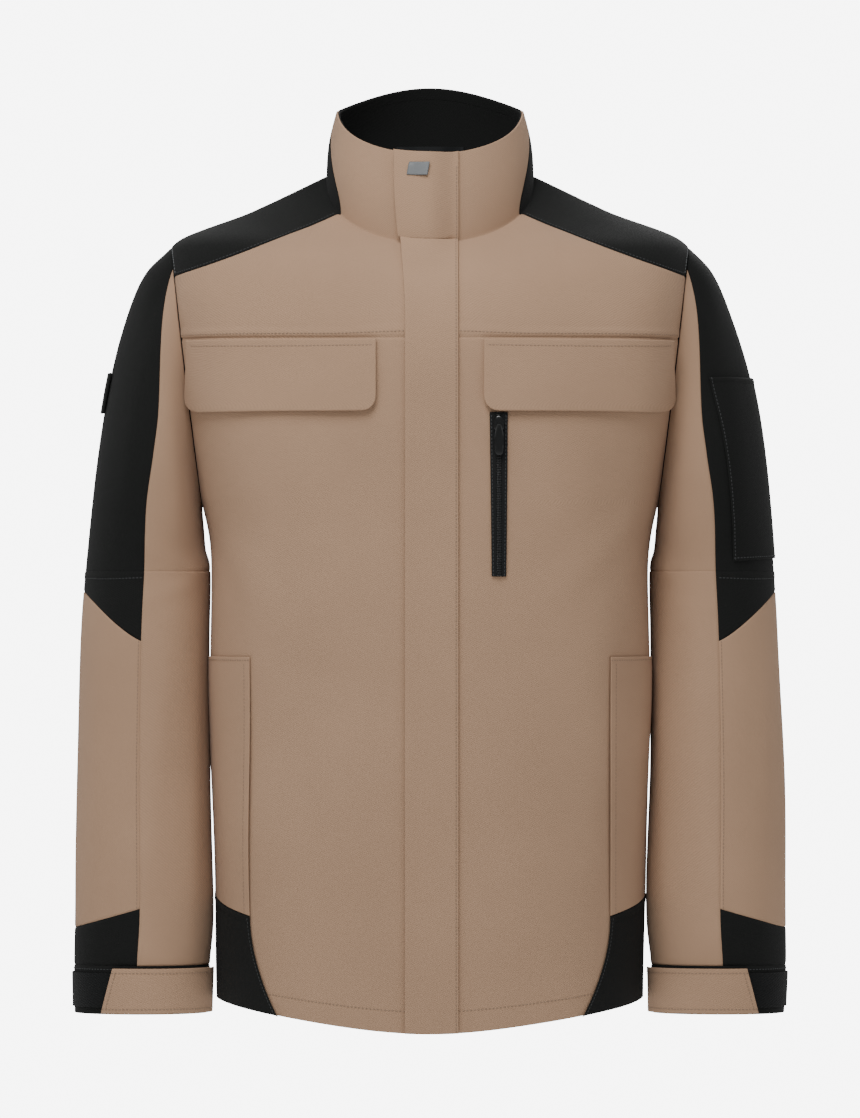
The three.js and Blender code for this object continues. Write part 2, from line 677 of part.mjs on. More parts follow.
// ---- Sleeves ----
// where the black outer panel meets the tan inner one, front and back, by sleeve ring
const frontBoundary = [{ a: 42 }, { a: 70 }, { a: 84 }, { a: 88 }, { a: 87 }, { a: 88 }, { a: 88 }];
const backBoundary = [{ a: -52 }, { a: -66 }, { a: -80 }, { a: -80 }, { a: -80 }];
const boundary = (list, s) => degrees * readStations(list, Math.min(s, list.length - 1.001)).a;
const frontLine = (s) => boundary(frontBoundary, s);
const backLine = (s) => boundary(backBoundary, s);
const upperRows = [0, 0.5, 1, 1.6, 2.3, 3, 3.7, 4.4, 5];
function aboveElbow(p) {
  sleeveSide(p);
  p.z = Math.max(p.z, elbowAboveHem + seam);
}
function belowElbow(p) {
  p.z = Math.min(p.z, elbowAboveHem - seam);
}
const outerPlace = (u, s) => [mix(backLine(s), frontLine(s), u), s];
const innerPlace = (u, s) => [mix(frontLine(s), backLine(s) + 2 * Math.PI, u), s];
const sleeveShell = (place, us, rows, keep) => panel(sleeve, place, us, rows, -fabric, 0, { keep });
addPair("sleeve_upper_outer", sleeveShell(outerPlace, steps(12), upperRows, aboveElbow), black);
addPair("sleeve_upper_inner", sleeveShell(innerPlace, steps(12), upperRows, aboveElbow), tan);
const roundPlace = (u, s) => [2 * Math.PI * u, s];
const roundSteps = (n) => steps(n).slice(0, -1);
const armLining = -fabric - 2.5 * gap;
const upperLiningTop = (u, s) => armLining - 2.5 * (1 - smooth(s / 2.6));
const upperLiningUnder = (u, s) => upperLiningTop(u, s) - 1;
const sleeveTube = (us, rows, low, high, keep) =>
  panel(sleeve, roundPlace, us, rows, low, high, { wraps: true, keep });
const upperLiningRows = [0, 0.5, 1, 1.6, 2.3, 3, 4, 5];
addPair("lining_upper_sleeve",
  sleeveTube(roundSteps(24), upperLiningRows, upperLiningUnder, upperLiningTop, aboveElbow), liningBlack);

const lowerFront = 88 * degrees;
const lowerBack = -80 * degrees;
const patchDrop = 61;
const patchRise = 44; // how much higher the patch's lower edge is at the outer side
const patchBottom = (turn) =>
  sleeveAtHeight(turn, elbowAboveHem - patchDrop + patchRise * clamp01(Math.cos(turn)) ** 1.3);
const cuffPanelHeight = 51;
const cuffTop = (turn) =>
  sleeveAtHeight(turn, cuffAboveHem + cuffBandHeight + cuffPanelHeight - 18 * Math.cos(turn));
const bandTop = 9;
const between = (top, bottom, a, b) => (u, v) => {
  const turn = mix(a, b, u);
  return [turn, mix(top(turn), bottom(turn), v)];
};
const elbowLine = () => 5;
const bandLine = () => bandTop;
const patchPlace = between(elbowLine, patchBottom, lowerBack, lowerFront);
const forearmPlace = between(patchBottom, cuffTop, lowerBack, lowerFront);
const undersidePlace = between(elbowLine, bandLine, lowerFront, lowerBack + 2 * Math.PI);
const cuffPanelPlace = between(cuffTop, bandLine, lowerBack, lowerFront);
addPair("elbow_patch", sleeveShell(patchPlace, steps(12), steps(2), belowElbow), black);
addPair("forearm_outer", sleeveShell(forearmPlace, steps(12), steps(5), belowElbow), tan);
addPair("forearm_inner", sleeveShell(undersidePlace, steps(13), steps(6), belowElbow), tan);
addPair("cuff_panel", sleeveShell(cuffPanelPlace, steps(12), steps(2), belowElbow), black);
addPair("lining_forearm",
  sleeveTube(roundSteps(24), [5, 6, 7, 8, 9, 9.8], armLining - 1, armLining, belowElbow), liningBlack);

// ---- Cuff: band, loop tape and strap ----
// the strap's sewn end makes the band thicker from its hinge line to the inner side
const strapHinge = 125;
const strapEnd = 178;
const strapLow = 2.4;
const strapHigh = 4;
const thickColumns = [strapHinge, strapHinge + 2, 142, 160, strapEnd - 1, strapEnd + 1];
const bandColumns = [
  ...steps(24).slice(0, 9),
  ...thickColumns.map((a) => a / 360),
  ...steps(24).slice(13, 24),
];
const bandHigh = (u) => (u * 360 > strapHinge + 1 && u * 360 < strapEnd ? strapHigh : 0);
addPair("cuff_band", sleeveTube(bandColumns, [bandTop, 10], -fabric, bandHigh), black);

const loopTapePlace = (u, v) => [mix(-55, 98, u) * degrees, mix(9.14, 9.86, v)];
const loopTapeHigh = overlayHigh - 0.2;
addPair("cuff_loop_tape",
  panel(sleeve, loopTapePlace, steps(11), steps(1), overlayLow, loopTapeHigh), black);
const strapRoot = (strapHinge - 1) * degrees;
const strapShare = strapHeight / cuffBandHeight;
function strapPlace(u, v) {
  const tip = mix(68, 57, v) * degrees;
  return [mix(tip, strapRoot, u), mix(10 - strapShare, 9.98, v)];
}
addPair("cuff_strap", panel(sleeve, strapPlace, steps(7), steps(1), strapLow, strapHigh), tan);

// a patch pocket on the wearer's left sleeve and a small folded tab on the right one
const pocketTopLine = (turn) => sleeveAtHeight(turn, armpitZ + 0.47 * armholeHeight);
const sleevePocketPlace = (u, v) => {
  const turn = mix(-70, 80, u) * degrees;
  return [turn, mix(pocketTopLine(turn), 4.85, v)];
};
const sleevePocketOptions = { keep: aboveElbow };
add("sleeve_pocket",
  panel(sleeve, sleevePocketPlace, steps(11), steps(5), overlayLow, overlayHigh, sleevePocketOptions), black);
const tabPlace = (u, v) => {
  const turn = mix(-6, 14, u) * degrees;
  return [turn, sleeveAtHeight(turn, armpitZ + mix(0.49, 0.33, v) * armholeHeight)];
};
const tabHigh = overlayHigh + 1.4;
add("sleeve_tab", mirrored(panel(sleeve, tabPlace, steps(2), steps(2), overlayLow, tabHigh)), black);

jacket.position.copy(loopPoint).negate();
export default jacket;
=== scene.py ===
# A work jacket in tan and black canvas, hung as worn: cloth panels with their seams and stitching,
# storm placket, collar, flaps, pockets, zips, lining, sleeves, cuffs and straps.
# Shapes are worked out in millimetres above the front hem and moved into the frame's metres at the end.
import math

import bpy
import numpy as np
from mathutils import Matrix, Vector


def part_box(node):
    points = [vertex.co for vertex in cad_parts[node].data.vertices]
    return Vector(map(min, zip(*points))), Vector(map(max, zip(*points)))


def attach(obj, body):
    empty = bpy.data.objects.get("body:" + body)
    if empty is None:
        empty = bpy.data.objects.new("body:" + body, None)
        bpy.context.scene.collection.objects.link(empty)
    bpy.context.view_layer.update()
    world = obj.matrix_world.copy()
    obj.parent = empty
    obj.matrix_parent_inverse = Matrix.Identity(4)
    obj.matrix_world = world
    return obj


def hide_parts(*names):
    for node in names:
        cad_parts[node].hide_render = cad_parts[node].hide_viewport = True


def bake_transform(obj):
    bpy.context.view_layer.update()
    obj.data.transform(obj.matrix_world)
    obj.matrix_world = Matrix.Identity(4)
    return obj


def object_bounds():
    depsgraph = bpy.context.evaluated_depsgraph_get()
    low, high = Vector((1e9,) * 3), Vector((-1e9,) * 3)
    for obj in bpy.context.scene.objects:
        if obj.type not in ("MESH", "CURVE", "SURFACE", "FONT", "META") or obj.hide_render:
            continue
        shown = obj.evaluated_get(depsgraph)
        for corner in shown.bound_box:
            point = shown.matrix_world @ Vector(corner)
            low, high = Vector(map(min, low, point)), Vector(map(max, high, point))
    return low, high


for unused in ("Cube", "Light", "Camera"):
    if unused in bpy.data.objects:
        bpy.data.objects.remove(bpy.data.objects[unused])
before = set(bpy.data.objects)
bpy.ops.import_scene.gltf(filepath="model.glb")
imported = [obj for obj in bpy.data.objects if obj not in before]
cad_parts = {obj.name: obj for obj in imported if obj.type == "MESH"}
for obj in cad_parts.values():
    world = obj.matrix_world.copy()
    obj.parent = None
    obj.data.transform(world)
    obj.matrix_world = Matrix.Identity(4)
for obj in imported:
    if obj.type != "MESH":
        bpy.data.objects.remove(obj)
sizeAtLoad = [list(corner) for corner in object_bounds()]
print("frame loaded")

root = "jacket"
half = math.pi / 2
degrees = math.pi / 180

# what a user would change about the cut, in millimetres
cut = {
    "length": 756, "hemSideRise": 28, "hemBackRise": 10, "hemHalfWidth": 187,
    "shoulderHalfWidth": 230, "armpitHalfWidth": 203, "armholeHeight": 226, "shoulderDrop": 60,
    "frontDepth": 141, "backDepth": 135,
    "neckHalfWidth": 92, "neckFrontDepth": 98, "neckBackDepth": 74, "neckFrontDrop": 61,
    "neckBackRise": 20, "collarSide": 58, "collarFront": 78, "collarBack": 62, "collarTaper": 9,
}
cloth = {"thick": 1.6, "seam": 0.06, "liningDepth": 4.32, "liningThick": 1}

armpitZ = cut["length"] - cut["shoulderDrop"] - cut["armholeHeight"]
chestSeamZ = armpitZ + 0.62 * cut["armholeHeight"]
neckFrontZ = cut["length"] - cut["neckFrontDrop"]


def mix(a, b, t):
    return a + (b - a) * t


def smooth(t):
    t = np.clip(t, 0, 1)
    return t * t * (3 - 2 * t)


def solve(rising, low, high, shape=(), rounds=26):  # root of a rising function, by halving
    low = np.zeros(shape) + low
    high = np.zeros(shape) + high
    for _ in range(rounds):
        middle = (low + high) / 2
        below = rising(middle) < 0
        low = np.where(below, middle, low)
        high = np.where(below, high, middle)
    return (low + high) / 2


def readStations(table, index):  # Catmull-Rom curve through the rows, read at fractional indices
    index = np.asarray(index, float)
    last = len(table) - 1
    i = np.clip(np.floor(index).astype(int), 0, last - 1)
    t = (index - i)[..., None]
    p1, p2 = table[i], table[i + 1]
    p0 = np.where((i > 0)[..., None], table[np.maximum(i - 1, 0)], 2 * p1 - p2)
    p3 = np.where((i + 2 <= last)[..., None], table[np.minimum(i + 2, last)], 2 * p2 - p1)
    bend = 2 * p0 - 5 * p1 + 4 * p2 - p3
    return p1 + 0.5 * t * (p2 - p0 + t * (bend + t * (3 * (p1 - p2) + p3 - p0)))


# Body: rings from the hem (0) to the neck seam (10), then the collar to its rim (11).
# A ring's columns: z at the side, front and back, half width, depth in front and behind, squareness, dip
def armholeX(z):
    return mix(cut["armpitHalfWidth"], cut["shoulderHalfWidth"], (z - armpitZ) / cut["armholeHeight"])


def bodyRings():
    front, back = cut["frontDepth"], cut["backDepth"]
    hem, high = cut["hemHalfWidth"], cut["armholeHeight"]
    chestZ = mix(armpitZ, chestSeamZ, 0.54)
    bladeZ = armpitZ + 0.84 * high
    top = cut["length"]
    neckFront, neckBack = cut["neckFrontDepth"], cut["neckBackDepth"]
    shoulderMid = mix(cut["neckHalfWidth"], cut["shoulderHalfWidth"], 0.48)

    def level(z, width, f, b, power):
        return [z, z, z, width, f, b, power, 1.6]

    return np.array([
        [cut["hemSideRise"], 0, cut["hemBackRise"], hem, front - 5, back - 8, 2.4, 1.6],
        level(0.3 * armpitZ, hem + 2.5, front - 3, back - 6, 2.4),
        level(0.62 * armpitZ, mix(hem, cut["armpitHalfWidth"], 0.5), front - 1.5, back - 4, 2.4),
        level(0.88 * armpitZ, cut["armpitHalfWidth"] - 9, front - 0.5, back - 3, 2.5),
        level(armpitZ + 10, cut["armpitHalfWidth"] + 2.8, front, back - 1, 2.7),
        level(chestZ, armholeX(chestZ) + 6, front + 0.5, back + 1, 2.9),
        level(chestSeamZ, armholeX(chestSeamZ) + 8.5, front - 0.5, back + 1, 3),
        [bladeZ, neckFrontZ - 43, armpitZ + 0.86 * high, armholeX(bladeZ) + 6.5,
         front - 10, back - 4, 3, 1.6],
        [armpitZ + high + 1, neckFrontZ - 23, top - 43, cut["shoulderHalfWidth"] - 4,
         neckFront + 21, neckBack + 44, 2.6, 1.3],
        [top - 31, neckFrontZ - 9, top - 6, shoulderMid, neckFront + 10, neckBack + 24, 2.2, 1],
        [top, neckFrontZ, top + cut["neckBackRise"], cut["neckHalfWidth"],
         neckFront, neckBack, 2.05, 0.9],
    ], float)


rings = bodyRings()
rim = np.array([
    cut["length"] + cut["collarSide"], neckFrontZ + cut["collarFront"],
    cut["length"] + cut["neckBackRise"] + cut["collarBack"], cut["neckHalfWidth"] - cut["collarTaper"],
    cut["neckFrontDepth"] - 10, cut["neckBackDepth"] - 6, 2.05, 1.1,
])


def ringPoint(ring, angle):
    # superellipse: its reach at an angle is (|sin/width|^n + |cos/depth|^n)^(-1/n), and its height
    # runs from the side's to the front's or back's with a power of |cos|
    side, front, back, width, f, b, power, dip = np.moveaxis(ring, -1, 0)
    s, c = np.sin(angle), np.cos(angle)
    ahead = c > 0
    depth = np.where(ahead, f, b)
    reach = (np.abs(s / width) ** power + np.abs(c / depth) ** power) ** (-1 / power)
    z = mix(side, np.where(ahead, front, back), np.abs(c) ** np.where(ahead, dip, 1.5))
    return np.stack([reach * s, -reach * c, z], -1)


def bodyPoint(angle, k):  # angle 0 is the front, a quarter turn the wearer's left
    angle, k = np.broadcast_arrays(np.asarray(angle, float), np.asarray(k, float))
    base = ringPoint(readStations(rings, np.minimum(k, 10)), angle)
    t = np.maximum(k - 10, 0)[..., None]
    outward = np.stack([np.sin(angle), -np.cos(angle), 0 * angle], -1)
    bulge = 2.5 * np.sin(np.pi * np.clip(t, 0, 1))
    return mix(base, ringPoint(rim, angle), t) + bulge * outward


def withNormal(point, a, b, sideways, upwards):  # the cross product of the two central differences
    across = point(a + sideways, b) - point(a - sideways, b)
    up = point(a, b + upwards) - point(a, b - upwards)
    normal = np.cross(across, up)
    return point(a, b), normal / np.linalg.norm(normal, axis=-1, keepdims=True)


def body(angle, k):
    return withNormal(bodyPoint, angle, k, 0.01, 0.02)


def angleAtX(x, k):
    x, k = np.broadcast_arrays(np.asarray(x, float), np.asarray(k, float))
    return solve(lambda a: bodyPoint(a, k)[..., 0] - x, 0, half, x.shape, 22)


def signedAngle(x, k):
    return np.sign(x) * angleAtX(np.abs(x), k)


def spot(x, z):  # the body's own coordinates of a place given in front view
    x, z = np.broadcast_arrays(np.asarray(x, float), np.asarray(z, float))
    side = solve(lambda k: x - readStations(rings, k)[..., 3], 7.5, 10, x.shape, 22)
    top = np.where(x < rings[10, 3], 11, side)
    k = solve(lambda q: bodyPoint(angleAtX(x, q), q)[..., 2] - z, 0, top, x.shape, 22)
    return angleAtX(x, k), k


# Armhole: where a slanted plane cuts the body
def pastPlane(angle, k):
    p = bodyPoint(angle, k)
    return p[..., 0] - armholeX(p[..., 2])


armholeLow = solve(lambda k: pastPlane(half, k), 3, 5)
armholeHigh = solve(lambda k: -pastPlane(half, k), 7, 8.5)


def frontArmhole(k):
    k = np.asarray(k, float)
    return solve(lambda a: pastPlane(a, k), 0.6, half, k.shape)


def backArmhole(k):
    k = np.asarray(k, float)
    return np.pi - solve(lambda a: pastPlane(np.pi - a, k), 0.6, half, k.shape)


def armholeRing(turn):
    return mix(armholeLow, armholeHigh, 0.5 + 0.5 * np.cos(turn))


def armholeAngles(turn):
    k = armholeRing(turn)
    return np.where(np.sin(turn) >= 0, frontArmhole(k), backArmhole(k))


roundTurns = np.linspace(0, 2 * np.pi, 1441)
roundAngles = armholeAngles(roundTurns)


def armhole(turn):  # turn 0 is the shoulder point, half a turn the armpit, and the front is positive
    return np.interp(np.mod(turn, 2 * np.pi), roundTurns, roundAngles), armholeRing(turn)


def armholeTurn(k):
    return np.arccos(2 * (k - armholeLow) / (armholeHigh - armholeLow) - 1)


def edgeOf(atArmhole):
    def edge(k):
        k = np.asarray(k, float)
        inside = (k > armholeLow) & (k < armholeHigh)
        return np.where(inside, atArmhole(np.clip(k, armholeLow, armholeHigh)), half)
    return edge


frontEdge, backEdge = edgeOf(frontArmhole), edgeOf(backArmhole)
planeTilt = math.hypot(cut["armholeHeight"], cut["shoulderHalfWidth"] - cut["armpitHalfWidth"])
planeNormal = np.array([
    cut["armholeHeight"] / planeTilt, 0,
    (cut["armpitHalfWidth"] - cut["shoulderHalfWidth"]) / planeTilt,
])


def keepSide(sign):  # points nearer the armhole plane than the seam's half width are moved back
    def keep(p):
        d = sign * (np.abs(p[..., 0]) - armholeX(p[..., 2])) * planeNormal[0]
        move = np.where((p[..., 2] > armpitZ - 20) & (d < cloth["seam"]), cloth["seam"] - d, 0)
        step = move[..., None] * planeNormal * sign
        flip = np.where(p[..., 0] < 0, -1, 1)
        return p + step * np.stack([flip, 0 * flip, np.ones_like(flip)], -1)
    return keep


# Sleeve: rings from the armhole (0) past the elbow (5) to the cuff (10).
# A ring's columns: x and z of its outer and inner points, half depth, y
sleeveCut = {
    "width": 118, "depth": 120, "elbow": 404, "cuff": 14, "band": 43, "outer": 75.5, "sideGap": 1.5,
}
topPoint = bodyPoint(*armhole(np.float64(0)))
pitPoint = bodyPoint(*armhole(np.float64(np.pi)))


def innerX(z):
    k = solve(lambda q: bodyPoint(half, q)[..., 2] - z, 0, 6)
    return float(bodyPoint(half, k)[0]) + sleeveCut["sideGap"]


def sleeveTable():
    wide, deep, elbow = sleeveCut["width"], sleeveCut["depth"], sleeveCut["elbow"]
    bandTop = sleeveCut["cuff"] + sleeveCut["band"]
    forearm = elbow - bandTop

    def upper(t, reach, g, ease, depth):
        outerZ, innerZ = mix(topPoint[2], elbow, t), mix(pitPoint[2], elbow, g)
        return [topPoint[0] + reach, outerZ, armholeX(innerZ) + ease, innerZ, depth * deep, -2 * t]

    def lower(z, width, depth, y, lift=0):
        inner = innerX(z) + lift
        return [inner + width * wide, z, inner, z, depth * deep, y]

    return np.array([
        [topPoint[0], topPoint[2], pitPoint[0], pitPoint[2], 0.54 * deep, 0],
        upper(0.085, 23, 0.09, 0.5, 0.59),
        upper(0.225, 40, 0.23, 0.8, 0.62),
        upper(0.42, 55, 0.41, 1, 0.63),
        upper(0.68, 67, 0.67, 1.4, 0.6),
        [cut["shoulderHalfWidth"] + sleeveCut["outer"], elbow, innerX(elbow), elbow, 0.53 * deep, -2],
        lower(elbow - 0.18 * forearm, 0.965, 0.51, -5),
        lower(elbow - 0.5 * forearm, 1.015, 0.48, -10),
        lower(elbow - 0.85 * forearm, 1.045, 0.455, -14, 2),
        lower(bandTop, 1.02, 0.445, -16, 7),
        lower(sleeveCut["cuff"], 1.0, 0.435, -17, 9),
    ], float)


sleeveRings = sleeveTable()


def ovalPoint(ring, turn):  # an oval: x and z run from inner to outer with cos, y with -sin
    outerX, outerZ, insideX, insideZ, depth, y = np.moveaxis(ring, -1, 0)
    outward = 0.5 + 0.5 * np.cos(turn)
    x, z = mix(insideX, outerX, outward), mix(insideZ, outerZ, outward)
    return np.stack([x, y - depth * np.sin(turn), z], -1)


def sleevePoint(turn, s):  # an oval that takes on the armhole's own outline towards the shoulder
    turn, s = np.broadcast_arrays(np.asarray(turn, float), np.asarray(s, float))
    fade = (1 - smooth(s / 2.4))[..., None]
    p = ovalPoint(readStations(sleeveRings, s), turn)
    return p + fade * (bodyPoint(*armhole(turn)) - ovalPoint(sleeveRings[0], turn))


def sleeve(turn, s):
    return withNormal(sleevePoint, turn, s, 0.02, 0.03)


def sleeveAtHeight(turn, z):
    turn, z = np.broadcast_arrays(np.asarray(turn, float), np.asarray(z, float))
    return solve(lambda s: z - sleevePoint(turn, s)[..., 2], 0, 10, turn.shape)


loopTop = cut["length"] + cut["neckBackRise"] + 2
shift = np.array([0, bodyPoint(np.pi, 10.12)[1] - 15.1, loopTop])
print("cut worked out", np.round(shift, 2))


# Drape: soft folds as low ridges along chords between two places on the cloth, and a slow ripple
# a fold: from angle and ring to angle and ring, its width and height
bodyFolds = [
    (72, 3.9, 40, 2.7, 17, 2.0), (-74, 3.8, -46, 2.4, 19, 1.7), (80, 3.3, 70, 0.5, 20, 2.4),
    (-78, 3.2, -67, 0.4, 22, 2.2), (58, 2.6, 50, 0.2, 24, 1.3), (-54, 2.2, -52, 0.1, 26, 1.3),
    (24, 5.7, 52, 4.7, 22, 1.1), (-26, 5.6, -56, 4.6, 20, 1.2), (20, 4.3, 30, 1.2, 34, 0.9),
    (-22, 3.8, -30, 0.8, 36, 0.9), (110, 4.0, 142, 2.6, 20, 2.0), (-112, 3.9, -146, 2.4, 22, 2.0),
    (104, 3.2, 112, 0.4, 22, 2.2), (-102, 3.1, -114, 0.5, 22, 2.2), (176, 5.9, 172, 0.6, 34, 1.6),
    (150, 5.4, 158, 1.0, 30, 1.3), (-152, 5.2, -160, 0.8, 32, 1.3), (60, 9.1, 40, 8.0, 12, 1.2),
    (-62, 9.1, -42, 8.1, 12, 1.2), (132, 8.7, 108, 7.4, 15, 1.2), (-134, 8.8, -110, 7.5, 15, 1.2),
]
sleeveFolds = [
    (100, 0.9, 128, 3.9, 12, 2.0), (48, 1.2, 62, 4.3, 14, 1.3), (70, 4.4, 150, 4.9, 9, 2.0),
    (60, 5.4, 140, 5.0, 9, 1.8), (110, 5.7, 92, 8.7, 12, 1.9), (150, 6.0, 140, 8.8, 10, 1.5),
    (40, 6.1, 52, 8.4, 13, 1.3), (-30, 1.0, -42, 4.4, 15, 1.8), (-60, 4.6, -140, 5.1, 10, 2.0),
    (-80, 5.6, -70, 8.6, 13, 1.8), (-130, 5.4, -120, 8.8, 12, 1.8), (75, 8.2, 120, 8.9, 9, 1.2),
]
ripple = {"waves": 8, "height": 0.34, "shortest": 70, "longest": 230, "seed": 5}
random = np.random.default_rng(ripple["seed"])
rippleWay = random.normal(size=(ripple["waves"], 3))
rippleWay /= np.linalg.norm(rippleWay, axis=1, keepdims=True)
rippleLong = np.linspace(ripple["shortest"], ripple["longest"], ripple["waves"])
rippleStart = random.uniform(0, 2 * np.pi, ripple["waves"])


def chords(folds, point):  # the folds' two ends in space, with their widths and heights
    table = np.array(folds, float)
    side = np.sign(table[:, 0])[:, None] * [1, 0, 0] + [0, 1, 1]
    ends = [point(np.abs(table[:, i]) * degrees, table[:, i + 1]) * side for i in (0, 2)]
    return ends[0], ends[1], table[:, 4], table[:, 5]


def sleeveChords(folds):
    table = np.array(folds, float)
    ends = [sleevePoint(table[:, i] * degrees, table[:, i + 1]) for i in (0, 2)]
    return ends[0], ends[1], table[:, 4], table[:, 5]


def ridges(p, folds):  # each ridge is height * exp(-(distance / width)^2), thinning to nothing at its ends
    total = np.zeros(p.shape[:-1])
    for start, end, width, height in zip(*folds):
        way = end - start
        t = np.clip(((p - start) @ way) / (way @ way), 0, 1)
        distance = np.linalg.norm(p - start - t[..., None] * way, axis=-1)
        total += height * np.exp(-((distance / width) ** 2)) * np.sin(np.pi * np.clip(0.12 + 0.76 * t, 0, 1))
    return total


def rippleAt(p):
    total = np.zeros(p.shape[:-1])
    for way, long, start in zip(rippleWay, rippleLong, rippleStart):
        total += np.sin(2 * np.pi * (p @ way) / long + start)
    return ripple["height"] * total


bodyChords = chords(bodyFolds, bodyPoint)
armChords = sleeveChords(sleeveFolds)


def armholeFade(p):  # nothing moves at the armhole seam, where body and sleeve meet
    x = np.abs(p[..., 0])
    near = smooth(np.abs(x - armholeX(p[..., 2])) / 30)
    return mix(1, near, smooth((p[..., 2] - armpitZ + 60) / 40))


def bodyDrape(p):
    calm = mix(1, 0.35, smooth((p[..., 2] - neckFrontZ + 20) / 40))
    return (ridges(p, bodyChords) + rippleAt(p)) * calm * armholeFade(p)


def armDrape(p):
    other = p * np.array([-1, 1, 1])
    left = p[..., 0] > 0
    folds = np.where(left, ridges(p, armChords), 0.85 * ridges(other + [0, 6, 9], armChords))
    return (folds + rippleAt(p)) * armholeFade(p)


# Sheets: cloth over u and v in 0 to 1 on a surface, with seams pressed in along chosen edges
relief = {"groove": 0.7, "grooveWidth": 1.1, "welt": 0.45, "weltWidth": 6.5, "stitchDip": 0.3, "pucker": 0.16}


def seamRelief(d, s, welt):
    # a groove exp(-(d/width)^2) at the edge, then where the seam is felled a raised welt that ends in
    # the stitch line's dip, puckered by a sine along the seam
    low = -relief["groove"] * np.exp(-((d / relief["grooveWidth"]) ** 2))
    if not welt:
        return low
    wide = relief["weltWidth"]
    raised = relief["welt"] * smooth(d / 1.6) * (1 - smooth((d - wide + 1.2) / 2.4))
    dip = relief["stitchDip"] * np.exp(-(((d - wide) / 0.9) ** 2))
    waves = np.sin(2 * np.pi * s / 10.5 + 1.3 * np.sin(s / 23))
    pucker = relief["pucker"] * waves * np.exp(-(((d - wide) / 3.4) ** 2))
    return low + raised - dip + pucker


def makeSheet(surface, place, top=0.0, thick=None, drape=bodyDrape, keep=None, seams="", welts="",
              side=1, inset=None):
    sheet = {
        "surface": surface, "place": place, "top": top, "drape": drape, "keep": keep, "side": side,
        "thick": cloth["thick"] if thick is None else thick, "seams": seams, "welts": welts,
        "inset": cloth["seam"] if inset is None else inset,
    }
    t = np.linspace(0, 1, 25)
    p, _ = surface(*place(*np.meshgrid(t, t)))
    sheet["t"] = t
    sheet["wide"] = np.linalg.norm(np.diff(p, axis=1), axis=-1).sum(1)  # a row's length, for each v
    sheet["long"] = np.linalg.norm(np.diff(p, axis=0), axis=-1).sum(0)  # a column's length, for each u
    return sheet


def onSheet(sheet, u, v, lift=0.0, under=False):
    # base point + normal * (top + drape + seams + lift), or the thickness lower on the under side
    u, v = np.broadcast_arrays(np.asarray(u, float), np.asarray(v, float))
    wide = np.interp(v, sheet["t"], sheet["wide"])
    long = np.interp(u, sheet["t"], sheet["long"])
    inU, inV = sheet["inset"] / np.maximum(wide, 1), sheet["inset"] / np.maximum(long, 1)
    pu = u if sheet["inset"] == 0 else mix(inU, 1 - inU, u)
    pv = v if sheet["inset"] == 0 else mix(inV, 1 - inV, v)
    base, normal = sheet["surface"](*sheet["place"](pu, pv))
    flip = np.array([sheet["side"], 1, 1])
    base, normal = base * flip, normal * flip
    top = sheet["top"](u, v, base) if callable(sheet["top"]) else sheet["top"]
    height = top + sheet["drape"](base) + lift - (sheet["thick"] if under else 0)
    edges = {"a": (u * wide, v * long), "b": ((1 - u) * wide, v * long), "c": (v * long, u * wide),
             "d": ((1 - v) * long, u * wide)}
    for name, (d, s) in edges.items():
        if name in sheet["seams"] + sheet["welts"] and not under:
            height = height + seamRelief(d, s, name in sheet["welts"])
        elif name not in sheet["seams"] + sheet["welts"] and sheet["inset"] > 0:
            soft = 0.45 * sheet["thick"]
            rounding = soft * (1 - np.sqrt(np.clip(1 - (1 - np.clip(d / soft, 0, 1)) ** 2, 0, 1)))
            height = height + (rounding if under else -rounding)
    p = base + normal * height[..., None]
    if sheet["keep"] is not None:
        p = sheet["keep"](p)
    return p, normal


def shares(length, spacing, close=(0.35, 0.8, 1.6, 2.8, 4.4, 5.8, 6.8, 8.2, 10)):  # crowded towards both ends
    near = np.array([0, *close]) / max(length, 1)
    near = near[near < 0.34]
    count = max(2, int(round(length * (1 - 2 * near[-1]) / spacing)) + 1)
    inner = np.linspace(near[-1], 1 - near[-1], count)
    return np.concatenate([near[:-1], inner, (1 - near[:-1])[::-1]])


def gridFaces(rows, cols, turned):
    j, i = np.meshgrid(np.arange(rows - 1), np.arange(cols - 1), indexing="ij")
    a = (j * cols + i).ravel()
    quads = np.stack([a, a + 1, a + cols + 1, a + cols], 1)
    return quads[:, ::-1] if turned else quads


def rimFaces(rows, cols):  # the walls between the two sides, going round the rim
    count = rows * cols
    bottom = np.arange(cols)
    right = np.arange(rows) * cols + cols - 1
    top = (rows - 1) * cols + np.arange(cols)[::-1]
    left = np.arange(rows)[::-1] * cols
    loop = np.concatenate([bottom[:-1], right[:-1], top[:-1], left[:-1]])
    after = np.roll(loop, -1)
    return np.stack([loop, loop + count, after + count, after], 1)


def meshFrom(name, points, faces, uv=None, sharp=55):
    mesh = bpy.data.meshes.new(name)
    mesh.vertices.add(len(points))
    mesh.vertices.foreach_set("co", ((points - shift) / 1000).astype(np.float32).ravel())
    mesh.loops.add(faces.size)
    mesh.loops.foreach_set("vertex_index", faces.astype(np.int32).ravel())
    mesh.polygons.add(len(faces))
    mesh.polygons.foreach_set("loop_start", np.arange(len(faces), dtype=np.int32) * faces.shape[1])
    if uv is not None:
        layer = mesh.uv_layers.new(name="cloth")
        layer.data.foreach_set("uv", uv[faces.ravel()].astype(np.float32).ravel())
    mesh.update(calc_edges=True)
    mesh.validate()
    mesh.shade_smooth()
    mesh.set_sharp_from_angle(angle=sharp * degrees)
    piece = bpy.data.objects.new(name, mesh)
    bpy.context.scene.collection.objects.link(piece)
    return piece


